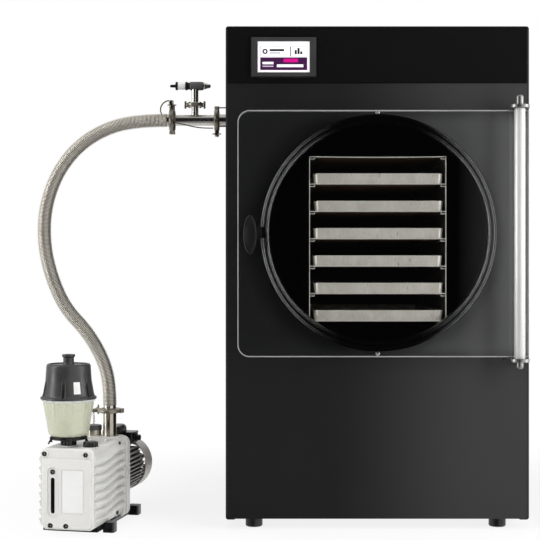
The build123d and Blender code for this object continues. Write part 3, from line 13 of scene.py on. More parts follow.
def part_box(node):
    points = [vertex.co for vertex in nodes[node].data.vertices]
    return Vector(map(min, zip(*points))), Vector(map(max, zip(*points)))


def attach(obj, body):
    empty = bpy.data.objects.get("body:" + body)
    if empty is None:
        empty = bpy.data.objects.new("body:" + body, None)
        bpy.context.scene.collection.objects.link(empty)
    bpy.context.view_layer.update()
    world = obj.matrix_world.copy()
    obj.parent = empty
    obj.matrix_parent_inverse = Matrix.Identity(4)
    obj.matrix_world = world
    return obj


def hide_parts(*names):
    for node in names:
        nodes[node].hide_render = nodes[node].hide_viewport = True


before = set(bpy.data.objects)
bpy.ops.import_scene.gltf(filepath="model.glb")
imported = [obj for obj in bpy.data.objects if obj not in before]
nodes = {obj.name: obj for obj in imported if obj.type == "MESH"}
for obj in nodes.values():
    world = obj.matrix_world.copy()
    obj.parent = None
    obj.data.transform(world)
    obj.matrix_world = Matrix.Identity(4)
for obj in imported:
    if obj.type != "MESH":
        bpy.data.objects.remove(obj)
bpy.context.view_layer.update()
scene = bpy.context.scene
scene.view_settings.view_transform = "Standard"

line_y, line_z = -0.210, 0.920  # the vacuum line's own axis, along X
drum_z = 0.652  # the round opening's middle
pump_yaw = math.radians(12)
pump_x, pump_y = -0.669, -0.462  # the foot of the pump's front face
motor_z = 0.104


# ------------------------------------------------------------------ shared helpers
def add_object(name, data):
    made = bpy.data.objects.new(name, data)
    scene.collection.objects.link(made)
    return made


def take_mesh(name, bm):
    """Turns a shape into a mesh and lets the shape go."""
    mesh = bpy.data.meshes.new(name)
    bm.to_mesh(mesh)
    bm.free()
    return mesh


class Tree:
    """Adds nodes to a node tree. A feed is a plain value or another node's output."""

    def __init__(self, tree):
        self.tree = tree

    def feed(self, target, feed):
        if isinstance(feed, bpy.types.NodeSocket):
            self.tree.links.new(feed, target)
        else:
            target.default_value = feed

    def add(self, kind, *feeds, named=None, out=0, **settings):
        """A new node's output. Feeds go to its inputs in order, and named ones by name."""
        node = self.tree.nodes.new("ShaderNode" + kind)
        for name, value in settings.items():
            setattr(node, name, value)
        for place, feed in (*enumerate(feeds), *(named or {}).items()):
            self.feed(node.inputs[place], feed)
        return node.outputs[out]

    def math(self, operation, *feeds):
        return self.add("Math", *feeds, operation=operation)

    def vector(self, operation, *feeds, out=0):
        return self.add("VectorMath", *feeds, operation=operation, out=out)

    def ramp(self, feed, start, end, low=0.0, high=1.0, shape="SMOOTHSTEP"):
        """A mask that runs from low to high while the feed runs from start to end."""
        return self.add("MapRange", feed, start, end, low, high, interpolation_type=shape)

    def noise(self, place, scale, detail, **named):
        feeds = {"Vector": place, "Scale": scale, "Detail": detail, **named}
        return self.add("TexNoise", named=feeds, out="Fac")

    def blend(self, factor, one, two):
        return self.add("Mix", named={"Factor": factor, "A": one, "B": two}, out="Result")


# ------------------------------------------------------------------ node groups
def new_group(name, **inputs):
    """A group that makes a mask of coordinates. Its other inputs come with their plain values."""
    group = bpy.data.node_groups.new(name, "ShaderNodeTree")
    for label, value in {"Vector": (0, 0, 0), **inputs}.items():
        kind = "NodeSocketVector" if isinstance(value, tuple) else "NodeSocketFloat"
        made = group.interface.new_socket(name=label.replace("_", " "), in_out="INPUT",
                                          socket_type=kind)
        made.default_value = value
    group.interface.new_socket(name="Mask", in_out="OUTPUT", socket_type="NodeSocketFloat")
    return Tree(group), group.nodes.new("NodeGroupInput").outputs


def close_group(tree, mask):
    tree.feed(tree.tree.nodes.new("NodeGroupOutput").inputs["Mask"], mask)
    return tree.tree


def make_grain_group():
    """Fine even texture, stretched along an axis for a brushed grain."""
    tree, given = new_group("fine_grain", Stretch=(1, 1, 1), Scale=800.0, Softness=0.5)
    stretched = tree.vector("MULTIPLY", given["Vector"], given["Stretch"])
    grain = tree.noise(stretched, given["Scale"], 3.0, Roughness=given["Softness"])
    return close_group(tree, tree.ramp(grain, 0.3, 0.7, shape="LINEAR"))


def make_handling_group():
    """Broad uneven patches, as hands and cloths leave on a surface."""
    tree, given = new_group("handling", Scale=6.0)
    broad = tree.noise(given["Vector"], given["Scale"], 4.0, Distortion=0.6)
    fine = tree.noise(given["Vector"], tree.math("MULTIPLY", given["Scale"], 7.0), 6.0)
    both = tree.math("MULTIPLY_ADD", fine, 0.35, broad)
    return close_group(tree, tree.ramp(both, 0.45, 0.9))


def make_edge_group():
    """Where an edge is rubbed: strongest on sharp outside corners, broken up by grain."""
    tree, given = new_group("rubbed_edges", Radius=0.002, Scale=120.0)
    rounded = tree.add("Bevel", given["Radius"], samples=4)
    flat = tree.add("NewGeometry", out="Normal")
    turned_away = tree.vector("DOT_PRODUCT", rounded, flat, out="Value")
    edge = tree.ramp(turned_away, 0.995, 0.85, shape="LINEAR")
    grain = tree.noise(given["Vector"], given["Scale"], 5.0)
    broken = tree.ramp(grain, 0.35, 0.65, shape="LINEAR")
    return close_group(tree, tree.math("MULTIPLY", edge, broken))


def make_field_group():
    """A rounded rectangle on an upright face, for the display's layout."""
    tree, given = new_group("screen_field", Centre=(0, 0, 0), Half_size=(0, 0, 0), Corner=0.001)
    upright = (1, 0, 1)
    away = tree.vector("SUBTRACT", given["Vector"], given["Centre"])
    flat = tree.vector("MULTIPLY", away, upright)
    corner = tree.add("CombineXYZ", named={"X": given["Corner"], "Z": given["Corner"]})
    inner = tree.vector("SUBTRACT", given["Half size"], corner)
    past = tree.vector("SUBTRACT", tree.vector("ABSOLUTE", flat), inner)
    outside = tree.vector("MULTIPLY", tree.vector("MAXIMUM", past, (0, 0, 0)), upright)
    reach = tree.vector("LENGTH", outside, out="Value")
    return close_group(tree, tree.math("LESS_THAN", reach, given["Corner"]))


grain_group = make_grain_group()
handling_group = make_handling_group()
edge_group = make_edge_group()
field_group = make_field_group()


# ------------------------------------------------------------------ materials
def scaled(colour, times, more=0.0):
    return tuple(min(1, times * part + more) for part in rgb(colour))


def rgb(colour):
    """A colour in full, where a single number stands for a grey."""
    return colour if isinstance(colour, tuple) else (colour,) * 3


class Finish(Tree):
    """A material being built: its node tree, its shader and its object coordinates."""

    def __init__(self, name):
        self.material = bpy.data.materials.new(name)
        self.material.use_nodes = True
        super().__init__(self.material.node_tree)
        self.shader = self.tree.nodes["Principled BSDF"]
        self.place = self.add("TexCoord", out="Object")

    def set(self, **feeds):
        """Feeds the shader's own sockets, and gives the material."""
        for name, feed in feeds.items():
            self.feed(self.shader.inputs[name.replace("_", " ")], feed)
        return self.material

    def cover(self, share, other):
        """Lets another shader take the place of the main one by a share."""
        both = self.add("MixShader", share, self.shader.outputs[0], other)
        self.feed(self.tree.nodes["Material Output"].inputs["Surface"], both)

    def mask(self, group, **values):
        named = {name.replace("_", " "): value for name, value in values.items()}
        return self.add("Group", node_tree=group, named={"Vector": self.place, **named}, out="Mask")

    def grain(self, scale, softness, stretch=(1, 1, 1)):
        return self.mask(grain_group, Scale=scale, Softness=softness, Stretch=stretch)

    def patches(self, scale):
        return self.mask(handling_group, Scale=scale)

    def rubbed(self, radius, scale):
        return self.mask(edge_group, Radius=radius, Scale=scale)

    def reach(self, origin, axes):
        """The distance from a point, measured along the chosen axes only."""
        away = self.vector("MULTIPLY", self.vector("SUBTRACT", self.place, origin), axes)
        return self.vector("LENGTH", away, out="Value")

    def mix(self, factor, first, second, share=1.0):
        """A colour between two, by a share of a mask."""
        node = self.add("Mix", self.math("MULTIPLY", factor, share), data_type="RGBA").node
        for place, colour in ((6, first), (7, second)):
            socket = isinstance(colour, bpy.types.NodeSocket)
            self.feed(node.inputs[place], colour if socket else (*rgb(colour), 1))
        return node.outputs[2]

    def done(self, colour, rough_mask, rough, height, depth, **more):
        """Feeds colour, roughness and bump, its depth in metres, and gives the material."""
        bump = self.add("Bump", named={"Height": height, "Distance": depth, "Strength": 1.0})
        return self.set(Base_Color=colour, Normal=bump,
                        Roughness=self.ramp(rough_mask, 0.0, 1.0, *rough, "LINEAR"), **more)


def powder_coat(name, base, light, rough=(0.42, 0.6), grain=900.0, depth=0.00004, shine=0.22):
    """Baked powder paint: a fine orange-peel texture with faint cloudy patches."""
    finish = Finish(name)
    fine = finish.grain(grain, 0.55)
    spark = finish.grain(330.0, 0.75)
    tone = finish.mix(fine, finish.mix(finish.patches(3.0), base, light, 0.5), light, 0.35)
    return finish.done(finish.mix(spark, tone, scaled(light, 2.2), 0.3), fine, rough, fine, depth,
                       Specular_IOR_Level=shine)


def front_coat_painted_light(name, base, light, sheen):
    """The front's powder coat, with painted shade that darkens it round the ring and a pale painted
    sheen towards the hinge.
    """
    finish = Finish(name)
    fine = finish.grain(900.0, 0.55)
    low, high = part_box("door_panel")
    half_height = (high.z - low.z) / 2
    from_ring = finish.ramp(finish.reach((0, 0, drum_z), (1, 0, 1)), 0.262, 0.315)
    to_hinge = finish.ramp(finish.reach((-0.24, 0, 0), (1, 0, 0)), 0.13, 0.47)
    off_door = finish.reach((0, 0, (low.z + high.z) / 2), (0, 0, 1))
    behind_door = finish.ramp(off_door, half_height - 0.03, half_height + 0.01, 1.0, 0.0)
    tone = finish.mix(fine, finish.mix(finish.patches(3.0), base, light, 0.5), light, 0.35)
    # painted shade: close to the ring the coat falls to a quarter of its colour
    shaded = finish.mix(from_ring, scaled(base, 0.25), tone)
    # painted sheen: the coat grows paler towards the hinge, fully behind the door and by about a
    # quarter away from it
    pale = finish.mix(to_hinge, shaded, sheen)
    colour = finish.mix(behind_door, finish.mix(to_hinge, tone, sheen, 0.26), pale)
    return finish.done(colour, fine, (0.42, 0.6), fine, 0.00004, Specular_IOR_Level=0.22)


def moulded(name, base, light, rough=(0.35, 0.5), coat=0.0, shine=0.5):
    """Moulded plastic with a fine spark texture and a little shine where it is handled."""
    finish = Finish(name)
    patches = finish.patches(14.0)
    tone = finish.mix(patches, base, light, 0.6)
    colour = finish.mix(finish.rubbed(0.0012, 300.0), tone, scaled(light, 1.8, 0.01), 0.4)
    return finish.done(colour, patches, rough, finish.grain(1500.0, 0.6), 0.00002,
                       Coat_Weight=coat, Coat_Roughness=0.2, Specular_IOR_Level=shine)


def rubber(name, base, light, rough, grain=700.0, depth=0.00003):
    """Moulded rubber: faint bloom, and a fine texture from its mould."""
    finish = Finish(name)
    bloom = finish.patches(10.0)
    return finish.done(finish.mix(bloom, base, light, 0.8), bloom, rough, finish.grain(grain, 0.5),
                       depth)


def sealing_rubber(name, base, light):
    """Smooth black rubber for the ring, wiped shiny at its sides and dull above and below."""
    finish = Finish(name)
    bloom = finish.patches(10.0)
    wiped = finish.ramp(finish.reach((0, 0, 0), (1, 0, 0)), 0.08, 0.2, 0.0, 1.6)
    return finish.done(finish.mix(bloom, base, light, 0.8), bloom, (0.14, 0.18),
                       finish.grain(500.0, 0.5), 0.0000005, Specular_IOR_Level=wiped)


def metal(name, base, dull, rough, stretch=(1, 1, 1), grain=400.0, depth=0.000008, smudges=9.0,
          metallic=1.0):
    """Bare metal with a grain in one direction and a few smudges."""
    finish = Finish(name)
    lines = finish.grain(grain, 0.6, stretch)
    tone = finish.mix(lines, base, dull, 0.45)
    return finish.done(finish.mix(finish.patches(smudges), tone, dull, 0.5), lines, rough, lines,
                       depth, Metallic=metallic)


def cast_metal(name, base, dull):
    """Cast metal left rough, with its high edges rubbed bright."""
    finish = Finish(name)
    skin = finish.grain(260.0, 0.65)
    tone = finish.mix(skin, base, dull, 0.7)
    return finish.done(finish.mix(finish.rubbed(0.0015, 200.0), tone, (0.85, 0.84, 0.8), 0.6), skin,
                       (0.3, 0.5), skin, 0.00012, Metallic=1.0)


def enamel(name, base, shade):
    """Sprayed enamel over a casting: soft orange peel, and faint grime in patches."""
    finish = Finish(name)
    grime = finish.patches(11.0)
    tone = finish.mix(grime, base, shade, 0.35)
    return finish.done(finish.mix(finish.rubbed(0.0015, 160.0), tone, scaled(shade, 0.82), 0.3),
                       grime, (0.3, 0.44), finish.grain(420.0, 0.4), 0.00005,
                       Coat_Weight=0.25, Coat_Roughness=0.15)


def finned_enamel(name, crest, hollow):
    """Enamel on a finned casting: pale along the fins' edges, near black between them as painted
    shade, with patches of grime.
    """
    finish = Finish(name)
    grime = finish.patches(16.0)
    away = finish.vector("SUBTRACT", finish.place, (pump_x, pump_y, motor_z))
    across = finish.vector("CROSS_PRODUCT", away, (math.sin(pump_yaw), math.cos(pump_yaw), 0))
    edge = finish.ramp(finish.vector("LENGTH", across, out="Value"), 0.0535, 0.0595, shape="LINEAR")
    # painted shade: the hollow colour fills the space between the fins
    return finish.done(finish.mix(grime, finish.mix(edge, hollow, crest), hollow, 0.3), grime,
                       (0.3, 0.5), finish.grain(420.0, 0.4), 0.00005,
                       Coat_Weight=0.15, Coat_Roughness=0.2)


def clear(name, colour):
    """Clear cast plastic that lets lamp light through to what is behind it."""
    finish = Finish(name)
    smears = finish.ramp(finish.patches(4.0), 0.0, 1.0, 0.0, 0.025, "LINEAR")
    see_through = finish.add("BsdfTransparent", (0.97, 0.97, 0.97, 1))
    finish.cover(finish.add("LightPath", out="Is Shadow Ray"), see_through)
    return finish.set(Roughness=smears, Base_Color=(*colour, 1), IOR=1.49, Transmission_Weight=1.0)


def cream_moulding(name):
    """Cloudy cream plastic that glows a little where light gets into it."""
    finish = Finish(name)
    cloud = finish.patches(18.0)
    return finish.done(finish.mix(cloud, (0.52, 0.53, 0.41), (0.43, 0.44, 0.32), 0.6), cloud,
                       (0.22, 0.38), finish.grain(500.0, 0.5), 0.00003, Subsurface_Weight=0.25,
                       Subsurface_Scale=0.01, Subsurface_Radius=(1.0, 0.9, 0.7), Coat_Weight=0.3,
                       Coat_Roughness=0.12)


def lit_screen(name, node):
    """The display: a plain start page of a bar, a button and rows of tiles, with no words."""
    low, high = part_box(node)
    middle = (low + high) / 2
    finish = Finish(name)
    page = finish.mix(finish.patches(5.0), (0.7, 0.69, 0.71), (0.66, 0.65, 0.68))
    dark, purple, magenta = (0.012, 0.01, 0.014), (0.035, 0.008, 0.04), (0.42, 0.006, 0.16)
    white, pink, plum = (0.72, 0.71, 0.74), (0.68, 0.42, 0.56), (0.16, 0.13, 0.17)
    tiles = [  # each tile's middle from the screen's, half its size, its corner and its colour
        (0, 0, 0.0535, 0.0310, 0.0008, pink),
        (0, 0, 0.0528, 0.0303, 0.0008, white),
        (0, 0.0118, 0.0515, 0.0108, 0.0008, plum),
        (-0.0185, 0.0118, 0.0322, 0.0100, 0.0008, white),
        (0.0335, 0.0118, 0.0172, 0.0100, 0.0008, white),
        (-0.0408, 0.0120, 0.0058, 0.0058, 0.0058, purple),
        (-0.0408, 0.0120, 0.0026, 0.0026, 0.0026, white),
        (-0.0150, 0.0148, 0.0160, 0.0024, 0.0008, dark),
        (-0.0190, 0.0086, 0.0120, 0.0012, 0.0008, (0.25, 0.2, 0.27)),
        (0.0265, 0.0105, 0.0024, 0.0045, 0.0008, dark),
        (0.0325, 0.0128, 0.0024, 0.0068, 0.0008, dark),
        (0.0385, 0.0090, 0.0024, 0.0030, 0.0008, dark),
        (0, -0.0150, 0.0515, 0.0140, 0.0008, purple),
        (0.0155, -0.0078, 0.0160, 0.0040, 0.0018, magenta),
        (0.0140, -0.0195, 0.0290, 0.0030, 0.0008, white),
        (-0.0345, -0.0135, 0.0120, 0.0026, 0.0008, white),
        (-0.0345, -0.0205, 0.0120, 0.0012, 0.0008, (0.4, 0.34, 0.42)),
    ]
    for x, z, half_x, half_z, corner, colour in tiles:
        tile = finish.mask(field_group, Centre=(middle.x + x, middle.y, middle.z + z),
                           Half_size=(half_x, 1, half_z), Corner=corner)
        page = finish.mix(tile, page, colour)
    return finish.set(Base_Color=page, Emission_Color=page, Roughness=0.12, Emission_Strength=0.4,
                      Specular_IOR_Level=0.3)


# the front's coat carries painted shade round the ring and a painted sheen towards the hinge
charcoal = front_coat_painted_light("charcoal_powder_coat", (0.006, 0.006, 0.0061), (0.0095, 0.0095, 0.0097),
                      sheen=0.082)
side_coat = powder_coat("side_powder_coat", (0.013, 0.013, 0.0133), (0.019, 0.019, 0.0195))
fascia_coat = powder_coat("fascia_powder_coat", (0.0022, 0.0022, 0.0023), (0.0036, 0.0036, 0.0037),
                          rough=(0.6, 0.75), grain=1300.0, depth=0.00002, shine=0.05)
rear_coat = powder_coat("rear_powder_coat", 0.035, 0.05)
# painted shade: the drum's inside is near black with no shine, standing for the dark inside
drum_lining = powder_coat("drum_lining", 0.0003, 0.0006, rough=(0.85, 0.95), shine=0.0)

black_rubber = rubber("black_rubber", (0.006, 0.006, 0.0065), 0.012, (0.3, 0.45))
gasket_rubber = sealing_rubber("gasket_rubber", (0.0012, 0.0012, 0.0013), 0.0024)
silicone = rubber("silicone_mat", (0.06, 0.022, 0.007), (0.09, 0.034, 0.01), (0.5, 0.7),
                  grain=350.0, depth=0.0001)
foam = rubber("insulating_foam", (0.75, 0.7, 0.52), (0.6, 0.55, 0.4), (0.8, 0.95), grain=160.0,
              depth=0.0006)

dark_plastic = moulded("dark_grey_plastic", (0.05, 0.05, 0.051), (0.07, 0.07, 0.072))
bezel_plastic = moulded("bezel_plastic", 0.022, 0.03)
black_plastic = moulded("black_plastic", 0.005, 0.009, shine=0.25)
lid_plastic = moulded("lid_plastic", (0.026, 0.026, 0.027), (0.04, 0.04, 0.041), (0.3, 0.42))
gloss_plastic = moulded("gloss_black_plastic", 0.005, 0.012, (0.22, 0.38))
pale_plastic = moulded("pale_flange", (0.6, 0.62, 0.58), (0.5, 0.52, 0.48), coat=0.3)
label_film = moulded("bare_label", (0.72, 0.72, 0.71), (0.66, 0.66, 0.65), (0.5, 0.6))
board_green = moulded("circuit_board", (0.02, 0.12, 0.05), (0.03, 0.18, 0.08))
oil_dark = moulded("sight_glass_oil", (0.004, 0.004, 0.003), (0.01, 0.009, 0.006), (0.05, 0.12),
                   coat=1.0)
gauge_white = moulded("gauge_white_band", (0.75, 0.75, 0.74), (0.6, 0.6, 0.58))
# painted highlight: the clear door's polished edges are an opaque pale grey
edge_painted_highlight = moulded("acrylic_edge_painted_highlight", 0.3, 0.38, (0.12, 0.25), coat=0.6)
acrylic = clear("clear_acrylic", (0.97, 0.985, 0.98))
cream = cream_moulding("cream_bowl")
screen = lit_screen("lit_screen", "touch_screen")

tray_steel = metal("tray_stainless", (1.0, 0.96, 0.88), (0.68, 0.63, 0.55), (0.26, 0.46),
                   stretch=(1, 1, 0.06), grain=330.0, depth=0.00006, smudges=30.0, metallic=0.55)
# painted shade: the rack's steel is dark; painted highlight: its front edges are a pale copy of it
rack_steel_painted_shade = metal("rack_stainless_painted_shade", (0.2, 0.19, 0.17), (0.1, 0.09, 0.08), (0.45, 0.6),
                   stretch=(0.05, 1, 1), grain=700.0, smudges=12.0)
rack_edge_painted_highlight = metal("rack_edges_painted_highlight", (1.0, 0.97, 0.9), (0.8, 0.76, 0.68), (0.3, 0.45),
                  stretch=(0.05, 1, 1), grain=500.0, smudges=40.0, metallic=0.2)
bracket_steel = metal("bracket_stainless", (0.42, 0.42, 0.41), (0.3, 0.3, 0.29), (0.3, 0.45))
polished = metal("polished_stainless", (0.9, 0.9, 0.885), (0.76, 0.76, 0.745), (0.2, 0.36),
                 stretch=(1, 1, 0.02), grain=1600.0, smudges=7.0)
bright_tube = metal("bright_tube", (0.7, 0.7, 0.685), (0.6, 0.6, 0.585), (0.34, 0.48),
                    stretch=(1, 1, 0.02), grain=1600.0, smudges=6.0, metallic=0.55)
bright_fitting = metal("bright_fittings", (0.7, 0.68, 0.64), (0.5, 0.48, 0.44), (0.12, 0.26),
                       grain=300.0, smudges=30.0)
warm_fitting = metal("warm_fittings", (0.62, 0.58, 0.5), (0.4, 0.365, 0.3), (0.12, 0.24),
                     grain=300.0, smudges=30.0)
hose_metal = metal("hose_stainless", (0.84, 0.8, 0.73), (0.64, 0.61, 0.55), (0.36, 0.5),
                   grain=240.0, depth=0.000002, smudges=12.0, metallic=0.92)
# painted shade: a dark copy of the hose's steel for the valleys between its rings
hose_grooves_painted_shade = metal("hose_grooves_painted_shade", (0.2, 0.185, 0.16), (0.12, 0.11, 0.095), (0.5, 0.65),
                     grain=240.0)
galvanised = metal("galvanised_sheet", (0.62, 0.63, 0.64), (0.45, 0.46, 0.47), (0.35, 0.6),
                   grain=60.0)
copper = metal("drawn_copper", (0.76, 0.38, 0.23), (0.48, 0.22, 0.13), (0.2, 0.45), grain=200.0)
fins = metal("condenser_fins", 0.6, 0.3, (0.3, 0.5), stretch=(10, 0.1, 0.1), grain=60.0,
             depth=0.0004)
brass = metal("valve_brass", (0.78, 0.6, 0.3), (0.55, 0.4, 0.18), (0.22, 0.4), grain=200.0)
black_steel = metal("blacked_steel", 0.05, 0.03, (0.3, 0.5))
rough_clamp = cast_metal("cast_clamps", (0.4, 0.37, 0.31), (0.22, 0.2, 0.165))

black_enamel = enamel("black_enamel", 0.012, 0.02)
white_enamel = enamel("white_enamel", (0.66, 0.655, 0.63), (0.55, 0.54, 0.515))
cover_enamel = enamel("cover_enamel", (0.8, 0.76, 0.7), (0.66, 0.62, 0.57))
lever_red = enamel("lever_red", (0.45, 0.02, 0.02), (0.3, 0.015, 0.015))
# the second colour is painted shade between the fins
motor_enamel_painted_shade = finned_enamel("motor_enamel_painted_shade", (0.46, 0.43, 0.39), (0.02, 0.018, 0.015))

cad_finishes = {
    side_coat: "cabinet_wrap", charcoal: "front_panel", fascia_coat: "control_fascia",
    rear_coat: "rear_panel", galvanised: "base_pan fan_motor", bezel_plastic: "display_bezel",
    screen: "touch_screen", drum_lining: "vacuum_drum", gasket_rubber: "door_gasket",
    rack_steel_painted_shade: "shelf_rack", silicone: "heater_mats", acrylic: "door_panel",
    black_rubber: "rubber_feet bonding_wire", polished: "hinge_tube door_screws cabinet_screws",
    bracket_steel: "hinge_brackets", black_steel: "latch_pawl pump_screws",
    foam: "drum_insulation", black_enamel: "compressor fan_shroud", fins: "condenser",
    copper: "refrigerant_circuit", board_green: "control_board", brass: "drain_valve",
    lever_red: "drain_lever", rough_clamp: "vacuum_clamps", hose_metal: "vacuum_hose",
    bright_fitting: "cabinet_port vacuum_tee hose_ends", white_enamel: "pump_oil_case",
    oil_dark: "sight_glass", cream: "filter_bowl", lid_plastic: "filter_lid",
    warm_fitting: "pump_ports", dark_plastic: "vacuum_gauge port_cap",
    motor_enamel_painted_shade: "pump_motor", cover_enamel: "pump_fan_cover",
    gloss_plastic: "pump_handle terminal_box pump_base",
    black_plastic: "latch_knob latch_keeper fan_blades power_inlet main_switch filler_cap "
                   "filter_neck pump_fan",
    tray_steel: "tray_1 tray_2 tray_3 tray_4 tray_5 tray_6",
}
finish_of = {name: finish for finish, names in cad_finishes.items() for name in names.split()}


def smooth_node(node):
    """Shades a CAD node smoothly over its curves and sharply at its edges."""
    mesh = node.data
    mesh.polygons.foreach_set("use_smooth", [True] * len(mesh.polygons))
    weld = node.modifiers.new("weld", "WELD")
    weld.merge_threshold = 0.00002
    split = node.modifiers.new("edges", "EDGE_SPLIT")
    split.split_angle = math.radians(32)
    split.use_edge_sharp = False


for name, node in nodes.items():
    node.data.materials.clear()
    node.data.materials.append(finish_of[name])
    smooth_node(node)


# ------------------------------------------------------------------ studio
def make_camera():
    data = bpy.data.cameras.new("Camera")
    data.lens = 84.7
    data.sensor_width = 36.0
    camera = add_object("Camera", data)
    camera.location = (-0.236, -3.174, 0.571)
    camera.rotation_euler = (math.radians(90), 0, 0)
    scene.camera = camera


def softbox(name, place, target, width, height, watts, mirrored=False):
    """A rectangular studio lamp. A lamp that isn't mirrored leaves no glare on glossy surfaces."""
    data = bpy.data.lights.new(name, "AREA")
    data.shape = "RECTANGLE"
    data.size = width
    data.size_y = height
    data.energy = watts
    lamp = add_object(name, data)
    lamp.location = place
    lamp.rotation_euler = (Vector(target) - Vector(place)).to_track_quat("-Z", "Y").to_euler()
    lamp.visible_glossy = mirrored
    lamp.visible_transmission = False


def make_floor():
    """A pale floor that shows the object's shadow and fades into the white behind it."""
    bm = bmesh.new()
    bmesh.ops.create_grid(bm, x_segments=1, y_segments=1, size=14)
    floor = add_object("studio_floor", take_mesh("studio_floor", bm))
    finish = Finish("studio_floor")
    finish.set(Base_Color=(0.86, 0.86, 0.86, 1), Roughness=0.9, Specular_IOR_Level=0.0)
    far = finish.ramp(finish.vector("LENGTH", finish.place, out="Value"), 0.35, 1.15, 0.8, 1.0)
    glow = finish.add("Emission", named={"Strength": 1.0})
    seen = finish.add("LightPath", out="Is Camera Ray")
    finish.cover(finish.math("MULTIPLY", seen, far), glow)
    floor.data.materials.append(finish.material)
    floor.visible_glossy = False
    floor.visible_transmission = False


def make_world():
    """White to the eye; in reflections bright at the sides and dark in front but to the right."""
    world = bpy.data.worlds.new("studio")
    scene.world = world
    world.use_nodes = True
    tree = Tree(world.node_tree)
    x, y, z = tree.add("SeparateXYZ", tree.add("TexCoord", out="Generated")).node.outputs
    path = tree.add("LightPath").node.outputs
    sides = tree.ramp(y, -0.86, -0.2, 0.01, 0.8)
    right_box = tree.ramp(x, 0.145, 0.2, 0.0, 0.9, "LINEAR")
    below = tree.ramp(z, -0.75, -0.3, 0.45, 0.0)
    reflected = tree.math("MAXIMUM", sides, tree.math("MAXIMUM", right_box, below))
    through_glass = path["Is Transmission Ray"]
    spread = tree.math("GREATER_THAN", path["Diffuse Depth"], 0.5)
    mirrored = tree.math("GREATER_THAN", path["Glossy Depth"], 0.5)
    from_inside = tree.ramp(tree.math("ABSOLUTE", x), 0.2, 0.8, 0.02, 2.2)
    level = tree.blend(path["Is Glossy Ray"], 0.36, reflected)
    level = tree.blend(through_glass, level, tree.blend(mirrored, 1.0, from_inside))
    level = tree.blend(path["Is Camera Ray"], level, 1.0)
    level = tree.blend(tree.math("MULTIPLY", through_glass, spread), level, 0.0)
    background = world.node_tree.nodes["Background"]
    tree.feed(background.inputs["Color"], (1, 1, 1, 1))
    tree.feed(background.inputs["Strength"], level)


make_camera()
make_world()
make_floor()
middle = (-0.1, -0.3, 0.55)
softbox("front_left_box", (-1.9, -3.4, 2.2), middle, 1.6, 1.6, 50)
softbox("front_right_box", (2.1, -2.7, 1.3), middle, 0.9, 2.0, 20)
softbox("right_fill", (1.0, -1.35, 0.75), (0.3, -0.38, 0.5), 0.3, 1.3, 9)
softbox("left_strip", (-2.4, -0.9, 1.0), middle, 0.5, 2.0, 20, mirrored=True)
softbox("right_strip", (2.2, -0.9, 1.0), middle, 0.5, 2.0, 20, mirrored=True)
softbox("top_box", (0.0, -0.6, 3.0), middle, 2.2, 1.8, 30)


# ------------------------------------------------------------------ shaping helpers
mm = 0.001
forward, backward = (0, -1, 0), (0, 1, 0)
upward, rightward, leftward = (0, 0, 1), (1, 0, 0), (-1, 0, 0)


def turned(profile, steps=96, ring=False, stretch=1):
    """Turns a profile of (radius, height) in millimetres about +Z, as on a lathe."""
    bm = bmesh.new()
    points = [bm.verts.new((radius * mm, 0, height * stretch * mm)) for radius, height in profile]
    edges = [bm.edges.new(pair) for pair in zip(points, points[1:])]
    if ring:
        edges.append(bm.edges.new((points[-1], points[0])))
    bmesh.ops.spin(bm, geom=points + edges, cent=(0, 0, 0), axis=(0, 0, 1), angle=2 * math.pi,
                   steps=steps, use_merge=True)
    bmesh.ops.remove_doubles(bm, verts=bm.verts, dist=1e-6)
    bmesh.ops.recalc_face_normals(bm, faces=bm.faces)
    return bm


def reshape(bm, new_radius):
    """Moves vertices in or out to what a rule gives for their radius, height and turn."""
    for vertex in bm.verts:
        x, y, height = vertex.co
        radius = math.hypot(x, y)
        if radius:
            share = new_radius(radius, height, math.atan2(y, x)) / radius
            vertex.co = (x * share, y * share, height)
    return bm


def at(x, y, z):
    return Matrix.Translation((x, y, z))


def turn_about(axis, degrees):
    return Matrix.Rotation(math.radians(degrees), 4, axis)


def along(origin, direction):
    """The place of a shape whose +Z is to point along a direction from an origin."""
    z = Vector(direction).normalized()
    x = Vector(upward).cross(z)
    x = x.normalized() if x.length > 1e-6 else Vector(rightward)
    return at(*origin) @ Matrix((x, z.cross(x), z)).transposed().to_4x4()


def moved(bm, place):
    bmesh.ops.transform(bm, matrix=place, verts=bm.verts)
    return bm


def tilted(bm, axis, angle, pivot=(0, 0, 0)):
    """Turns a shape by an angle in radians about an axis through a pivot."""
    bmesh.ops.rotate(bm, cent=pivot, matrix=Matrix.Rotation(angle, 3, axis), verts=bm.verts)
    return bm


def round_edges(bm, edges, offset, segments, material=-1):
    bmesh.ops.bevel(bm, geom=edges, offset=offset, segments=segments, affect="EDGES", profile=0.5,
                    material=material)


def edges_along(bm, axis):
    """The straight edges that run along an axis."""
    runs = [(edge, edge.verts[1].co - edge.verts[0].co) for edge in bm.edges]
    return [edge for edge, run in runs if abs(run[axis]) > 0.9 * run.length]


def block(low, high, corner=0, corner_axis=2, edge=0.0008, segments=3):
    """A box between two corners, its edges along one axis rounded by corner and the rest eased."""
    low, high = Vector(low), Vector(high)
    bm = bmesh.new()
    bmesh.ops.create_cube(bm, size=1)
    bmesh.ops.scale(bm, vec=high - low, verts=bm.verts)
    bmesh.ops.translate(bm, vec=(low + high) / 2, verts=bm.verts)
    if corner:
        round_edges(bm, edges_along(bm, corner_axis), corner, 8)
    if edge:
        sharp = [line for line in bm.edges if line.calc_face_angle(0) > math.radians(40)]
        round_edges(bm, sharp, edge, segments)
    return bm


def plate(low, high, corner, edge=0, segments=3):
    """A block that faces front, with its corners rounded."""
    return block(low, high, corner, 1, edge, segments)


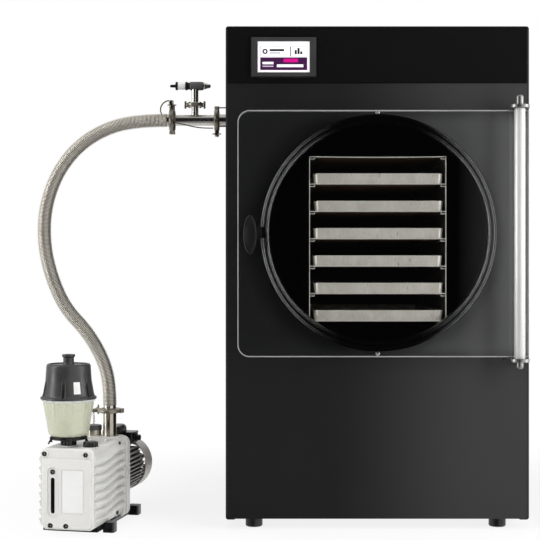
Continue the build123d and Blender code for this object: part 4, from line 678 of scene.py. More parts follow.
def join(*shapes):
    """Puts several shapes into one."""
    whole = shapes[0]
    for shape in shapes[1:]:
        mesh = take_mesh("part", shape)
        whole.from_mesh(mesh)
        bpy.data.meshes.remove(mesh)
    return whole


def drawn_on(bm, points, way, steps):
    """Draws a closed loop of points out along a way in even steps, and closes both ends."""
    loop = [bm.verts.new(point) for point in points]
    edges = [bm.edges.new(pair) for pair in zip(loop, loop[1:] + loop[:1])]
    for _ in range(steps):
        made = bmesh.ops.extrude_edge_only(bm, edges=edges)["geom"]
        ends = {item for item in made if isinstance(item, bmesh.types.BMVert)}
        bmesh.ops.translate(bm, vec=Vector(way) / steps, verts=list(ends))
        edges = [item for item in made
                 if isinstance(item, bmesh.types.BMEdge) and set(item.verts) <= ends]
    bmesh.ops.holes_fill(bm, edges=bm.edges, sides=0)


def use_second(bm, test):
    """Gives the faces whose middles pass a test the piece's second finish."""
    for face in bm.faces:
        if test(face.calc_center_median()):
            face.material_index = 1


def piece(name, bm, finish, body="cabinet", replaces=None, angle=35, second=None):
    """Makes a shape a finished piece that rides on a CAD body."""
    mesh = take_mesh(name, bm)
    mesh.polygons.foreach_set("use_smooth", [True] * len(mesh.polygons))
    mesh.set_sharp_from_angle(angle=math.radians(angle))
    for look in (finish, second):
        if look:
            mesh.materials.append(look)
    made = add_object(name, mesh)
    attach(made, body)
    if replaces:
        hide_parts(replaces)
    return made


# ------------------------------------------------------------------ vacuum hose and bonding wire
hose_points = [
    (-0.476, -0.21, 0.92), (-0.53, -0.21, 0.92), (-0.608, -0.213, 0.906),
    (-0.68, -0.219, 0.863), (-0.731, -0.227, 0.795), (-0.757, -0.236, 0.712),
    (-0.757, -0.244, 0.628), (-0.738, -0.251, 0.552), (-0.706, -0.257, 0.483),
    (-0.655, -0.262, 0.43), (-0.618, -0.266, 0.368), (-0.6023, -0.2687, 0.31),
    (-0.6023, -0.2687, 0.262),
]
wire_points = [
    (-0.4566, -0.228, 0.913), (-0.438, -0.23, 0.909), (-0.415, -0.231, 0.903),
    (-0.39, -0.23, 0.8995), (-0.3674, -0.228, 0.9),
]
hose_valley, hose_pitch = 13.7, 3.1  # a radius and a length in millimetres
# one ring of the hose: its rise over the valley in millimetres, and its place in the pitch
hose_ring = [(0, 0), (0.3, 0.22), (1.8, 0.32), (2.2, 0.55), (1.8, 0.78), (0.3, 0.9)]


def route(name, points):
    """The smooth line through a cord's route points."""
    curve = bpy.data.curves.new(name, "CURVE")
    curve.dimensions = "3D"
    curve.resolution_u = 24
    spline = curve.splines.new("NURBS")
    spline.points.add(len(points) - 1)
    for place, point in zip(spline.points, points):
        place.co = (*point, 1)
    spline.order_u = 3
    spline.use_endpoint_u = True
    return curve


def line_points(curve):
    """The points of a route's smooth line, in order."""
    holder = add_object("line", curve)
    mesh = bpy.data.meshes.new_from_object(holder)
    points = [vertex.co.copy() for vertex in mesh.vertices]
    bpy.data.objects.remove(holder)
    bpy.data.meshes.remove(mesh)
    return points


def bend_onto(bm, points):
    """Bends a straight upright shape onto a line, its height becoming distance along the line."""
    marks = [0]
    for one, two in zip(points, points[1:]):
        marks.append(marks[-1] + (two - one).length)
    befores, afters = points[:1] + points[:-1], points[1:] + points[-1:]
    directions = [(after - before).normalized() for before, after in zip(befores, afters)]
    side = directions[0].orthogonal().normalized()
    sides = [side]
    for one, two in zip(directions, directions[1:]):
        side = one.rotation_difference(two) @ side
        sides.append((side - two * side.dot(two)).normalized())
    number = 0
    for vertex in sorted(bm.verts, key=lambda v: v.co.z):
        reach = min(max(vertex.co.z, 0), marks[-1])
        while number < len(marks) - 2 and marks[number + 1] < reach:
            number += 1
        share = (reach - marks[number]) / (marks[number + 1] - marks[number])
        centre = points[number].lerp(points[number + 1], share)
        direction = directions[number].lerp(directions[number + 1], share).normalized()
        side = sides[number].lerp(sides[number + 1], share)
        side = (side - direction * side.dot(direction)).normalized()
        vertex.co = centre + side * vertex.co.x + direction.cross(side) * vertex.co.y


def vacuum_hose():
    """Corrugated metal hose, its rings set close and each one rounded, with painted shade in the
    valleys between them.
    """
    line = line_points(route("hose_route", hose_points))
    length = sum((two - one).length for one, two in zip(line, line[1:]))
    rings = round(length / (hose_pitch * mm))
    pitch = length / mm / rings
    profile = [(hose_valley + rise, (ring + share) * pitch)
               for ring in range(rings) for rise, share in hose_ring]
    shape = turned(profile + [(hose_valley, rings * pitch)], steps=28)
    # painted shade: the faces in the valleys get the dark finish
    use_second(shape, lambda spot: spot.xy.length < (hose_valley + 0.2) * mm)
    bend_onto(shape, line)
    hose = piece("vacuum_hose_corrugated", shape, hose_metal,
                 replaces="vacuum_hose", angle=80, second=hose_grooves_painted_shade)


def bonding_wire():
    """The thin black wire that bonds one clamp to the other."""
    curve = route("bonding_wire_line", wire_points)
    curve.bevel_depth = 0.00125
    curve.bevel_resolution = 4
    curve.use_fill_caps = True
    curve.materials.append(black_rubber)
    wire = add_object("bonding_wire_line", curve)
    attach(wire, "cabinet")
    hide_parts("bonding_wire")


# ------------------------------------------------------------------ door, gasket and drum
gasket_back, drum_mouth = -0.3803, -0.402
# the notch in the ring's lip for the latch's pawl: its inner radius, floor, half width and flare
notch_radius, notch_y, notch_half, notch_flare = 0.2485, -0.392, 0.0085, 0.35


def door_gasket():
    """The black sealing ring: an outer lip, a groove and an inner lip that leads into the drum."""
    profile = [
        (258, 0), (258, 21.5), (257.6, 25.2), (256.3, 28.1), (254.5, 29.5), (252.5, 29.7),
        (250.8, 29), (249.6, 27.6), (249, 25.5), (248.8, 23.2), (247.5, 22.6), (246.2, 23.2),
        (245.9, 25.6), (245, 27.7), (243.4, 28.8), (241.4, 28.8), (239.4, 27.5), (237.7, 25),
        (236.6, 21.5), (236.1, 17), (236.2, 11), (240, 3.6), (249.7, 3.6), (249.7, 8),
        (253.3, 8), (253.3, 0),
    ]
    shape = turned(profile, steps=512, ring=True)
    moved(shape, along((0, gasket_back, drum_z), forward))
    for vertex in shape.verts:
        x, z = vertex.co.x, vertex.co.z - drum_z
        radius = math.hypot(x, z)
        beside_latch = x < 0 and abs(z) < notch_half + notch_flare * (radius - notch_radius)
        if beside_latch and radius > notch_radius:
            vertex.co.y = max(vertex.co.y, notch_y)
    piece("door_gasket_ring", shape, gasket_rubber, replaces="door_gasket")


def vacuum_drum():
    """The deep drum, black as painted shade: a rolled rim, a straight wall, a dished head and a
    stiffening flange.
    """
    profile = [
        (253.3, 0), (253.3, 23.8), (275.8, 23.8), (275.8, 27.2), (253.3, 27.2), (253, 527),
        (249.7, 546), (240, 559), (226, 568), (208, 572), (0, 572), (0, 569), (208, 569),
        (224.5, 565.2), (237.8, 556.8), (246.7, 544.5), (250, 527), (250, 0),
    ]
    shape = moved(turned(profile, steps=160, ring=True), along((0, drum_mouth, drum_z), backward))
    piece("vacuum_drum_shell", shape, drum_lining, replaces="vacuum_drum")


def door_panel():
    """The clear door: a thick cast sheet with round corners on its free side, and polished edges
    given an opaque grey as a painted highlight.
    """
    shape = block(*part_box("door_panel"), edge=0)
    free = [edge for edge in edges_along(shape, 1) if edge.verts[0].co.x < 0]
    round_edges(shape, free, 0.026, 12)
    rims = [edge for edge in shape.edges if edge.calc_face_angle(0) > math.radians(60)]
    round_edges(shape, rims, 0.0016, 2, material=1)
    piece("door_panel_clear", shape, acrylic, body="door",
          replaces="door_panel", angle=15, second=edge_painted_highlight)


def hinge_tube():
    """The long bright tube that the door turns on, open at its ends for the pins."""
    low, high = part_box("hinge_tube")
    length = (high.z - low.z) / mm
    profile = [
        (6.2, 0), (11, 0), (11.7, 0.3), (12, 1), (12, length - 1), (11.7, length - 0.3),
        (11, length), (6.2, length),
    ]
    shape = turned(profile, steps=64, ring=True)
    moved(shape, at((low.x + high.x) / 2, (low.y + high.y) / 2, low.z))
    piece("hinge_tube_bright", shape, bright_tube, body="door",
          replaces="hinge_tube")


def latch_knob():
    """The long oval knob, dished a little on its face, on a round stem."""
    low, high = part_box("latch_knob")
    profile = [
        (0, 0), (5.9, 0), (5.9, 35.2), (11, 35.6), (11.2, 43), (12.8, 44.2), (15, 46.2),
        (15.8, 49.5), (16, 54), (15.7, 58), (14.8, 60.5), (13, 61.2), (9.5, 60.4), (5, 60),
        (0, 59.9),
    ]
    stretch = (high.y - low.y) / (61.2 * mm)
    shape = turned(profile, steps=64, stretch=stretch)
    for vertex in shape.verts:
        if vertex.co.z > 43.8 * mm * stretch:
            vertex.co.x *= 0.88
            vertex.co.y *= 2.6
    moved(shape, along(((low.x + high.x) / 2, high.y, (low.z + high.z) / 2), forward))
    piece("latch_knob_oval", shape, black_plastic, body="latch",
          replaces="latch_knob")


def rack_edges():
    """The rack's sheared front edges, made pale as a painted highlight: two sides, seven shelves
    and folded tabs.
    """
    low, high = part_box("shelf_rack")
    front, back = low.y - 0.0004, low.y + 0.0012
    half = high.x
    first_shelf, shelf_step, shelves = 0.46, 0.06, 7

    def strip(x0, x1, z0, z1):
        return block((min(x0, x1), front, z0), (max(x0, x1), back, z1), edge=0.0003, segments=1)

    def sagging(shape, sag):
        """Lets a strip hang by a little in its middle."""
        cuts = [edge for edge in shape.edges
                if abs(edge.verts[0].co.x - edge.verts[1].co.x) > half]
        bmesh.ops.subdivide_edges(shape, edges=cuts, cuts=15, use_grid_fill=True)
        for vertex in shape.verts:
            vertex.co.z -= sag * (1 - (vertex.co.x / half) ** 2)
        return shape

    edges = [strip(side * half, side * (half - 0.0015), low.z + 0.004, high.z)
             for side in (-1, 1)]
    for number in range(shelves):
        top = first_shelf + shelf_step * number
        shelf = strip(-half, half, top - 0.0015, top + 0.0001)
        edges.append(sagging(shelf, 0.0016) if number == shelves - 1 else shelf)
        for side in (-1, 1):
            fold = side * (half - 0.012)
            edges.append(strip(side * half, fold, top - 0.0067, top - 0.0053))
            edges.append(strip(side * (half - 0.0105), fold, top - 0.0054, top - 0.003))
    # the edges take the pale steel as a painted highlight
    piece("rack_front_edges", join(*edges), rack_edge_painted_highlight)


def pressed_tray(number):
    """A pressed pan: upright walls, rounded corners that dip a little, and a rolled rim."""
    low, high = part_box(f"tray_{number}")
    centre, half = (low + high) / 2, (high - low) / 2
    wall, floor, corner_reach, dip = 0.0016, 0.0012, 0.009, 0.0026
    shape = block(low, high, corner=0.0105, edge=0)
    top = max(shape.faces, key=lambda face: face.calc_center_median().z)
    bmesh.ops.inset_region(shape, faces=[top], thickness=wall)
    pocket = bmesh.ops.extrude_discrete_faces(shape, faces=[top])["faces"][0]
    bmesh.ops.translate(shape, vec=(0, 0, floor - 2 * half.z), verts=pocket.verts)
    rim = [edge for edge in shape.edges if edge.calc_face_angle(0) > 1
           and all(vertex.co.z > high.z - 0.0001 for vertex in edge.verts)]
    round_edges(shape, rim, 0.00075, 3)
    for vertex in shape.verts:
        away = vertex.co - centre
        rise = (vertex.co.z - low.z) / (2 * half.z)
        out_x = abs(away.x) - (half.x - corner_reach)
        out_y = abs(away.y) - (half.y - corner_reach)
        if rise > 0.5 and out_x > 0 and out_y > 0:
            vertex.co.z -= dip * min(1, (out_x / corner_reach) ** 2)
        taper = 1 - 0.009 * (1 - rise)
        vertex.co.xy = centre.xy + away.xy * taper
    piece(f"tray_{number}_pan", shape, tray_steel, replaces=f"tray_{number}")


# ------------------------------------------------------------------ gauge
stem_x, gauge_z, thumb_z = -0.411, 1, 0.956


def vacuum_gauge():
    """The gauge: a ribbed grey body, a white band between black rings, and a bright end."""
    low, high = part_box("vacuum_gauge")
    ribs = [(9.9 + 0.4 * (number % 2), 46.5 + 0.9 * number) for number in range(26)]
    sections = [
        ("gauge_lead", black_plastic, "black_plastic", None,
         [(0, 0), (2.2, 0), (3.4, 3), (3.4, 11), (6, 12), (9.5, 12.5), (9.8, 16.5), (8.6, 17.5),
          (0, 17.5)]),
        ("gauge_white_band", gauge_white, "instrument", None,
         [(0, 17.5), (8, 17.5), (8.2, 18), (8.2, 33.5), (8, 34), (0, 34)]),
        ("gauge_black_ring", black_plastic, "black_plastic", None,
         [(0, 34), (8.6, 34), (10, 35.2), (10, 38.5), (8.2, 39.8), (7.8, 42), (8.6, 43.2),
          (8.6, 44.5), (0, 44.5)]),
        ("gauge_body", dark_plastic, "instrument", "vacuum_gauge",
         [(0, 44.5), (8.4, 44.5), (9.8, 46), *ribs, (9.8, 70.5), (9.2, 74.5), (0, 74.5)]),
        ("gauge_bright_end", bright_fitting, "chrome_fittings", None,
         [(0, 74.5), (7.8, 74.5), (8.2, 75.5), (7.4, 79), (5.6, 83), (5, 87), (3.6, 90),
          (0, 91)]),
    ]
    for name, finish, slot, replaces, profile in sections:
        shape = turned(profile, steps=48, stretch=(high.x - low.x) / (91 * mm))
        piece(name, moved(shape, along((low.x, line_y, gauge_z), rightward)), finish,
              replaces=replaces)


def gauge_stem():
    """The bright stem that holds the gauge on the tee, with a flange at its foot."""
    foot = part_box("vacuum_gauge")[0].z
    stem = turned([(6.4, 0), (14.8, 0), (15, 0.4), (15, 2.6), (11.8, 3.4), (8.4, 6), (8, 8),
                   (8, 36), (6.4, 36)], steps=48, ring=True)
    piece("gauge_stem", moved(stem, at(stem_x, line_y, foot)), bright_fitting)


# ------------------------------------------------------------------ pump case
pump_frame = at(pump_x, pump_y, 0) @ Matrix.Rotation(-pump_yaw, 4, "Z")
window_x = -0.032
cap_x, cap_y = 0.042, 0.03


def ease(value, start, end):
    """0 before start, 1 after end, and smooth between."""
    share = min(1, max(0, (value - start) / (end - start)))
    return share * share * (3 - 2 * share)


def carve(shape, *cutters):
    """Cuts closed shapes out of a closed shape."""
    things = [add_object("cut", take_mesh("cut", bm)) for bm in (shape, join(*cutters))]
    cut = things[0].modifiers.new("cut", "BOOLEAN")
    cut.object = things[1]
    cut.solver = "EXACT"
    cut.use_self = True
    graph = bpy.context.evaluated_depsgraph_get()
    result = bpy.data.meshes.new_from_object(things[0].evaluated_get(graph))
    whole = bmesh.new()
    whole.from_mesh(result)
    spent = [result] + [thing.data for thing in things]
    for thing in things:
        bpy.data.objects.remove(thing)
    for mesh in spent:
        bpy.data.meshes.remove(mesh)
    return whole


def window(middle_z, width, height, front_y, back_y, edge=0):
    """An upright block with round ends, for the sight window."""
    half_x, half_z = width / 2, height / 2
    return plate((window_x - half_x, front_y, middle_z - half_z),
                 (window_x + half_x, back_y, middle_z + half_z), half_x - 0.0001, edge)


def case_rib(side, crest_z, top):
    """A rib on the case's side: a crisp crest that runs back in a wave, hollow underneath."""
    section = [
        (-0.004, top), (0, top), (0.0062, 0.0016), (0.008, 0.0006), (0.0085, -0.0006),
        (0.0078, -0.0024), (0.0042, -0.0086), (0.0008, -0.014), (-0.004, -0.015),
    ]
    bm = bmesh.new()
    drawn_on(bm, [(out, 0.003, height) for out, height in section], (0, 0.188, 0), 30)
    for vertex in bm.verts:
        back = vertex.co.y
        wave = -0.0024 * ease(back, 0.012, 0.052) + 0.009 * ease(back, 0.06, 0.175)
        vertex.co.z += crest_z + wave
        vertex.co.x = side * (0.059 + vertex.co.x * (0.75 + 0.25 * ease(back, 0.004, 0.055)))
    bmesh.ops.recalc_face_normals(bm, faces=bm.faces)
    return bm


def seat(profile, x, y, z, direction):
    """A small turned shape on the case, facing a way in the pump's own frame."""
    return moved(turned(profile, steps=40), along((x, y, z), direction))


def pump_case():
    """The oil case: a rounded body, a raised cover, waved ribs on its sides and a rear flange."""
    body = plate((-0.059, 0, 0.015), (0.059, 0.2, 0.19), 0.012, 0.0045, 5)
    body = carve(body, window(0.0885, 0.009, 0.077, -0.006, 0.006))
    screw_hole = [(0, 0), (6.2, 0), (6.2, 6), (0, 6)]
    cover = carve(
        plate((-0.055, -0.004, 0.0185), (0.055, 0.006, 0.1675), 0.011, 0.0022, 4),
        window(0.0965, 0.022, 0.106, -0.006, -0.0022),
        window(0.0885, 0.009, 0.077, -0.007, 0.007),
        plate((-0.012, -0.006, 0.051), (0.04, -0.003, 0.145), 0.003),
        *(seat(screw_hole, x, 0.0001, z, forward)
          for x, z in ((-0.037, 0.024), (-0.002, 0.024), (-0.032, 0.139))),
    )
    frame_ring = carve(window(0.0965, 0.0275, 0.1115, -0.0046, -0.002, 0.0005),
                       window(0.0965, 0.0225, 0.1065, -0.006, -0.001))
    flange = plate((-0.0635, 0.19, 0.008), (0.0635, 0.2052, 0.1905), 0.016, 0.0018)
    back_plate = plate((-0.0657, 0.2062, 0.0085), (0.0657, 0.228, 0.191), 0.017, 0.0018)
    boss = [(0, 0), (9, 0), (8.8, 1.2), (8, 1.8), (5.8, 1.8), (5.6, 0.6), (0, 0.6)]
    cap_ring = [(17.2, 0), (21.5, 0), (21.3, 1.2), (20.5, 1.8), (17.8, 1.8), (17.2, 1.2)]
    disc = [(0, 0), (22.5, 0), (22, 1.6), (20.5, 2.4), (0, 2.4)]
    shapes = [
        body, cover, frame_ring, flange, back_plate,
        *(seat(boss, x, 0.0003, 0.177, forward) for x in (-0.051, 0.042)),
        *(seat(boss, 0.0586, y, z, rightward) for y, z in ((0.165, 0.18), (0.15, 0.028))),
        moved(turned(cap_ring, ring=True), at(cap_x, cap_y, 0.1895)),
        seat(disc, -0.014, 0.045, 0.1895, upward),
        block((-0.042, 0.172, 0.185), (0.054, 0.2265, 0.1928), corner=0.012, edge=0.0012),
    ]
    rib_tops = [0.0032] * 7 + [0.011]
    shapes += [case_rib(side, 0.0375 + 0.0184 * number, top)
               for side in (-1, 1) for number, top in enumerate(rib_tops)]
    piece("pump_oil_case_cast", moved(join(*shapes), pump_frame), white_enamel,
          replaces="pump_oil_case")


def pump_label():
    """The bare label on the case's front cover."""
    label = plate((-0.009, -0.0036, 0.053), (0.037, -0.0028, 0.143), 0.002, 0.0001, 1)
    piece("pump_label_bare", moved(label, pump_frame), label_film)


def filler_cap():
    """The oil filler's cap: a low dome with finger hollows round its rim."""
    profile = [
        (0, -4.5), (12.7, -4.5), (12.7, 0), (14, 0.3), (15.5, 1.4), (16, 3), (16, 9),
        (15.5, 10.6), (14.2, 11.8), (11, 12.2), (9.8, 11.4), (8, 11.2), (0, 11.6),
    ]

    def hollowed(radius, _height, turn):
        if radius <= 0.0135:
            return radius
        hollow = max(0, math.cos(12 * turn)) ** 1.5
        return radius - 0.0018 * hollow * (radius - 0.0127) / 0.0033

    shape = moved(reshape(turned(profile, steps=144), hollowed),
                  pump_frame @ at(cap_x, cap_y, 0.1903))
    piece("filler_cap_domed", shape, gloss_plastic, body="oil_filler",
          replaces="filler_cap", angle=50)


def pump_handle():
    """The pump's rounded carrying handle, with ribs on its grip."""
    handle = carve(
        block((-0.005, 0.2295, 0.15), (0.027, 0.327, 0.2065), edge=0.011, segments=6),
        block((-0.02, 0.246, 0.163), (0.04, 0.312, 0.1905), corner=0.01, corner_axis=0, edge=0))
    ribs = [block((-0.0055, y, 0.1985), (0.0275, y + 0.004, 0.2052), corner=0.002, corner_axis=0,
                  edge=0.0006) for y in (0.256, 0.266, 0.276, 0.286, 0.296)]
    piece("pump_handle_rounded", moved(join(handle, *ribs), pump_frame), gloss_plastic,
          replaces="pump_handle")


def terminal_box():
    """The small box for the pump's wires, with a lid and a cable gland."""
    box = block((-0.028, 0.326, 0.158), (0.04, 0.371, 0.1825), corner=0.007, edge=0.003)
    gland = seat([(0, 0), (8.5, 0), (8.5, 4), (7, 4.5), (7, 11), (5.2, 12), (0, 12)],
                 0.0395, 0.349, 0.17, rightward)
    lid = block((-0.029, 0.3255, 0.1815), (0.041, 0.3715, 0.1843), corner=0.007, edge=0.001)
    piece("terminal_box_rounded", moved(join(box, gland, lid), pump_frame), gloss_plastic,
          replaces="terminal_box")


# ------------------------------------------------------------------ flange clamps
def jaw_clamp(x_way, axis, centre, half, neck):
    """A cast flange clamp: a V-shaped ring, lugs, two ears, a hinge link, a bolt and a wing nut.

    Half its thickness and the radius of its neck are in millimetres.
    """
    inner, outer, crown = 20, 29, 22.7
    side_profile = [(inner * 0.9, half), (crown, 0.95 * half), (outer - 1.2, 0.62 * half),
                    (outer, 0.4 * half)]
    low_side = [(radius, -height) for radius, height in side_profile]
    shape = turned([(neck, -0.3 * half), *low_side, *side_profile[::-1], (neck, 0.3 * half)],
                   steps=72, ring=True)
    outer, tall = outer * mm, half * mm
    parts = []
    for number in range(7):
        lug = block((outer - 0.004, -0.0045, -0.75 * tall), (outer + 0.0012, 0.0045, 0.75 * tall),
                    edge=0.0011)
        parts.append(moved(lug, turn_about("Z", 40 * number - 150)))
    for low_x, high_x in ((-0.0085, -0.0018), (0.0018, 0.0085)):
        parts.append(block((low_x, outer - 0.005, -0.8 * tall),
                           (high_x, outer + 0.0085, 0.8 * tall), edge=0.0016))
    pin = [(0, -0.9 * half), (3, -0.9 * half), (3.4, -0.8 * half), (3.4, 0.8 * half),
           (3, 0.9 * half), (0, 0.9 * half)]
    parts += [moved(turned(pin, steps=20), at(x, -outer, 0)) for x in (-0.0048, 0.0048)]
    thread = [(2.6 + 0.3 * (number % 2), number - 11.5) for number in range(32)]
    bolt = turned([(0, -15.5), (4.2, -15.5), (4.4, -15), (4.4, -12.5), (4, -12.2), (2.8, -12.2),
                   *thread, (2.6, 21.5), (0, 21.5)], steps=20)
    hub = turned([(0, 9), (5.2, 9), (5.4, 9.6), (4.4, 15.5), (0, 16)], steps=20)
    wings = []
    for half_turn in (180, 0):
        wing = block((-0.0012, 0.003, 0.0105), (0.0012, 0.0125, 0.0185), corner=0.003,
                     corner_axis=0, edge=0.0006)
        tilted(wing, "X", 0.5, (0, 0.004, 0.012))
        wings.append(moved(wing, turn_about("Z", half_turn)))
    tight = moved(join(bolt, hub, *wings), along((0, outer + 0.0045, 0), rightward))
    x_way, z_way = Vector(x_way), Vector(axis)
    turn = Matrix((x_way, z_way.cross(x_way), z_way)).transposed().to_4x4()
    place = at(*centre) @ turn
    return moved(join(shape, *parts), place), moved(tight, place)


def thumb_clamp(centre):
    """The small clamp on the gauge's stem: a ring with open arms to two thumb bars."""
    parts = [turned([(8.4, -1.2), (14.6, -4), (17.8, -3.4), (19, -1.6), (19, 1.6), (17.8, 3.4),
                     (14.6, 4), (8.4, 1.2)], steps=64, ring=True)]
    for side in (-1, 1):
        bar = block((-0.0024, -0.003, -0.0088), (0.0024, 0.003, 0.0088), edge=0.0016)
        parts.append(moved(bar, at(side * 0.0222, 0, 0)))
        for slope in (-1, 1):
            arm = block((-0.006, -0.0018, -0.0011), (0.006, 0.0018, 0.0011), edge=0.0006)
            tilted(arm, "Y", slope * 0.42 * side)
            parts.append(moved(arm, at(side * 0.0158, 0, slope * 0.0046)))
    return moved(join(*parts), at(*centre))


def hose_strap():
    """The bright strap that runs over the hose's end."""
    x, pivot_z, radius, thick = -0.47, 0.9445, 0.02, 0.0024
    strap = bmesh.new()
    corners = [strap.verts.new((x, line_y + y, pivot_z + z))
               for y, z in ((-0.004, radius), (0.004, radius), (0.004, radius + thick),
                            (-0.004, radius + thick))]
    rim = [strap.edges.new(pair) for pair in zip(corners, corners[1:] + corners[:1])]
    bmesh.ops.spin(strap, geom=corners + rim, cent=(x, line_y, pivot_z), axis=(0, 1, 0),
                   angle=-math.radians(125), steps=24)
    bmesh.ops.holes_fill(strap, edges=strap.edges, sides=0)
    bmesh.ops.recalc_face_normals(strap, faces=strap.faces)
    return strap


def chain_link(number):
    """One oval link of the cap's chain, turned a quarter from the one under it."""
    wire, steps = 0.55, 8
    turns = [math.tau * step / steps for step in range(steps)]
    link = turned([(1.7 + wire * math.cos(turn), wire * math.sin(turn)) for turn in turns],
                  steps=20, ring=True)
    bmesh.ops.scale(link, vec=(1, 1.55, 1), verts=link.verts)
    way = Matrix.Rotation(math.pi / 2 * (number % 2) + 0.4, 4, "Z") @ turn_about("X", 90)
    spot = at(-0.012 + 0.0006 * (number % 3), 0.198, 0.218 + 0.0037 * number)
    return moved(link, pump_frame @ spot @ way)


def vacuum_clamps():
    """Every clamp on the vacuum line, the strap over the hose's end, the studs and the chain."""
    port_x, hose_x = -0.36, -0.464
    pump_way = (math.sin(pump_yaw), math.cos(pump_yaw), 0)
    clamps = [
        jaw_clamp(forward, rightward, (port_x, line_y, line_z), 6.2, 14.6),
        jaw_clamp(forward, leftward, (hose_x, line_y, line_z), 7.2, 14.6),
        jaw_clamp(pump_way, upward, pump_frame @ Vector((0.025, 0.203, 0.25)), 5.4, 15.3),
    ]
    bodies, fixings = zip(*clamps)
    piece("flange_clamps_cast", join(*bodies), rough_clamp,
          replaces="vacuum_clamps")
    piece("gauge_clamp_thumb", thumb_clamp((stem_x, line_y, thumb_z)), rough_clamp)
    stud = [(0, 0), (3, 0), (3.2, 0.4), (3.2, 2.8), (1.7, 3.4), (1.7, 27), (0, 27)]
    studs = [moved(turned(stud, steps=20),
                   along((port_x - 0.0035, line_y - 0.004, z), rightward)) for z in (0.949, 0.9055)]
    clasp = block((-0.472, line_y - 0.005, 0.948), (-0.461, line_y + 0.005, 0.9672),
                  edge=0.0024)
    chain = [chain_link(number) for number in range(8)]
    piece("clamp_bolts_and_chain", join(*fixings, *studs, hose_strap(), clasp, *chain),
          warm_fitting)


# ------------------------------------------------------------------ mist filter on the pump
filter_x, filter_y = -0.67334, -0.41507
filter_foot, filter_floor, filter_rim = 0.1902, 0.211, 0.292
slot_turn = math.radians(-93)


def slot_angle(turn, count):
    """How far in degrees a turn is from the nearest of some evenly set slots."""
    pitch = 360 / count
    return abs((math.degrees(turn - slot_turn) + pitch / 2) % pitch - pitch / 2)


def filter_lid():
    """The dark lid: a cone that flares to its rim, six deep slots between ribs, and a nipple."""
    profile = [
        (55, 0), (60, 0), (60.5, 0.6), (60.5, 3.4), (59.8, 4.4), (58.2, 5), (56.8, 6.2),
        (55.6, 9),
        *((54.5 - 0.6 * number, 13 + 3.375 * number) for number in range(9)),
        (48.7, 55), (48, 66), (47.7, 71.2), (46.6, 74), (45, 75.6), (43.2, 76), (42, 75.7),
        (41, 73.8), (40, 73.3), (15, 74.2), (13, 74.8), (11.9, 76.2), (11.5, 80), (11.9, 80.4),
        (11.9, 81.2), (11.5, 81.6), (11.5, 89), (13, 90.4), (14, 91.6), (14, 95.6), (13.7, 96),
        (8.7, 96), (8.5, 95.6), (8.5, 72.2), (40, 71), (44, 69), (47.2, 40), (48, 12), (54, 4),
    ]

    def slotted(radius, height, turn):
        """Sinks the six slots into the cone and raises a rib at each side of them."""
        away = slot_angle(turn, 6)
        if radius < 0.049 or not 0.0055 < height < 0.0402 or away >= 4.6:
            return radius
        if away < 2.3:
            return radius - (radius - 0.0492) * ease(height, 0.0055, 0.0075)
        return radius + 0.0011 * ease(height, 0.0402, 0.03)

    shape = reshape(turned(profile, steps=360, ring=True), slotted)
    piece("filter_lid_dark", moved(shape, at(filter_x, filter_y, filter_rim)), lid_plastic,
          replaces="filter_lid")


def filter_sticker():
    """The bare sticker on the lid's cone, bent to follow it."""
    patch = bmesh.new()
    bmesh.ops.create_grid(patch, x_segments=12, y_segments=8, size=1)
    for vertex in patch.verts:
        turn = math.radians(8 * vertex.co.x - 61)
        height = 0.0264 + 0.0127 * vertex.co.y
        radius = 0.0547 - 0.0048 * (height - 0.013) / 0.027
        vertex.co = (radius * math.cos(turn), radius * math.sin(turn), height)
    bmesh.ops.recalc_face_normals(patch, faces=patch.faces)
    everything = patch.faces[:] + patch.edges[:] + patch.verts[:]
    bmesh.ops.solidify(patch, geom=everything, thickness=0.0003)
    bmesh.ops.recalc_face_normals(patch, faces=patch.faces)
    piece("filter_sticker_bare", moved(patch, at(filter_x, filter_y, filter_rim)), label_film)


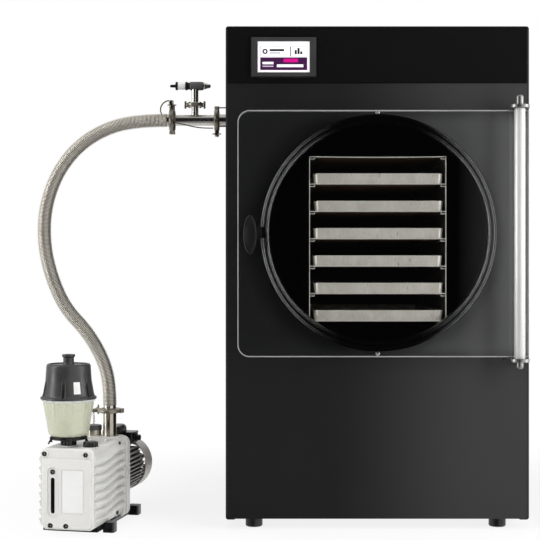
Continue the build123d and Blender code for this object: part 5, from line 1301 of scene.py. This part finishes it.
def filter_bowl():
    """The cream bowl: tapered ridges down its upper wall and a pale scalloped flange."""
    profile = [
        (0, 0), (33, 0), (36.8, 0.8), (39.8, 2.6), (42.4, 5.6), (44, 9.6), (44.8, 14),
        *((45.2 + 7.4 * number / 14, 18 + 54 * number / 14) for number in range(15)),
        (53.4, 74.8), (56, 76.6), (57.8, 77.2), (58, 77.8), (58, 80.8), (51.5, 80.8),
        (49.8, 71.5), (43, 19), (41, 10), (37, 5), (0, 3.2),
    ]

    def ridged(radius, height, turn):
        """Raises fourteen ridges on the wall and scallops the flange."""
        if radius > 0.044 and 0.02 < height < 0.0735 and radius > 0.043 + 0.12 * height:
            ridge = math.exp(-(slot_angle(turn, 14) / 3.2) ** 2)
            return radius + 0.0021 * ease(height, 0.026, 0.072) * ridge
        if radius > 0.0545:
            return radius - 0.0022 * math.exp(-(slot_angle(turn, 18) / 4) ** 2)
        return radius

    shape = reshape(turned(profile, steps=288), ridged)
    use_second(shape, lambda spot: spot.z > 0.0742)
    piece("filter_bowl_cream", moved(shape, at(filter_x, filter_y, filter_floor)), cream,
          replaces="filter_bowl", angle=50, second=pale_plastic)


def filter_neck():
    """The black neck: a threaded foot, a waist, a spread seat for the bowl, and toggles."""
    profile = [
        (0, -4.5), (12.7, -4.5), (12.7, 0), (17, 0), (17.4, 0.6), (17.4, 4), (16, 5.2), (15, 5.6),
        (14.8, 8.4), (18.5, 9.8), (24, 11.8), (33.5, 13.6), (37.2, 14.2), (38, 15.2),
        (37.2, 16.4), (34.8, 17), (34.8, 18.6), (37.8, 19.4), (38.4, 20.2), (37.6, 21), (11, 21),
        (11, -4), (0, -4),
    ]
    parts = [turned(profile)]
    for number in range(4):
        lug = block((0.0352, -0.006, 0.0085), (0.0405, 0.006, 0.02), edge=0.0016)
        wing = block((0.038, -0.0042, 0.0035), (0.0412, 0.0042, 0.0125), edge=0.0012)
        tilted(wing, "Y", -0.5, (0.0395, 0, 0.012))
        parts.append(moved(join(lug, wing), turn_about("Z", 86 * number - 165)))
    for number in range(10):
        rib = block((0.0145, -0.0012, 0.0005), (0.0172, 0.0012, 0.0095), edge=0.0004)
        parts.append(moved(rib, turn_about("Z", 36 * number)))
    piece("filter_neck_clamped", moved(join(*parts), at(filter_x, filter_y, filter_foot)),
          gloss_plastic, replaces="filter_neck")


vacuum_hose()
bonding_wire()
door_gasket()
vacuum_drum()
door_panel()
hinge_tube()
latch_knob()
rack_edges()
for tray_number in range(1, 7):
    pressed_tray(tray_number)
vacuum_gauge()
gauge_stem()
pump_case()
pump_label()
filler_cap()
pump_handle()
terminal_box()
vacuum_clamps()
filter_lid()
filter_sticker()
filter_bowl()
filter_neck()
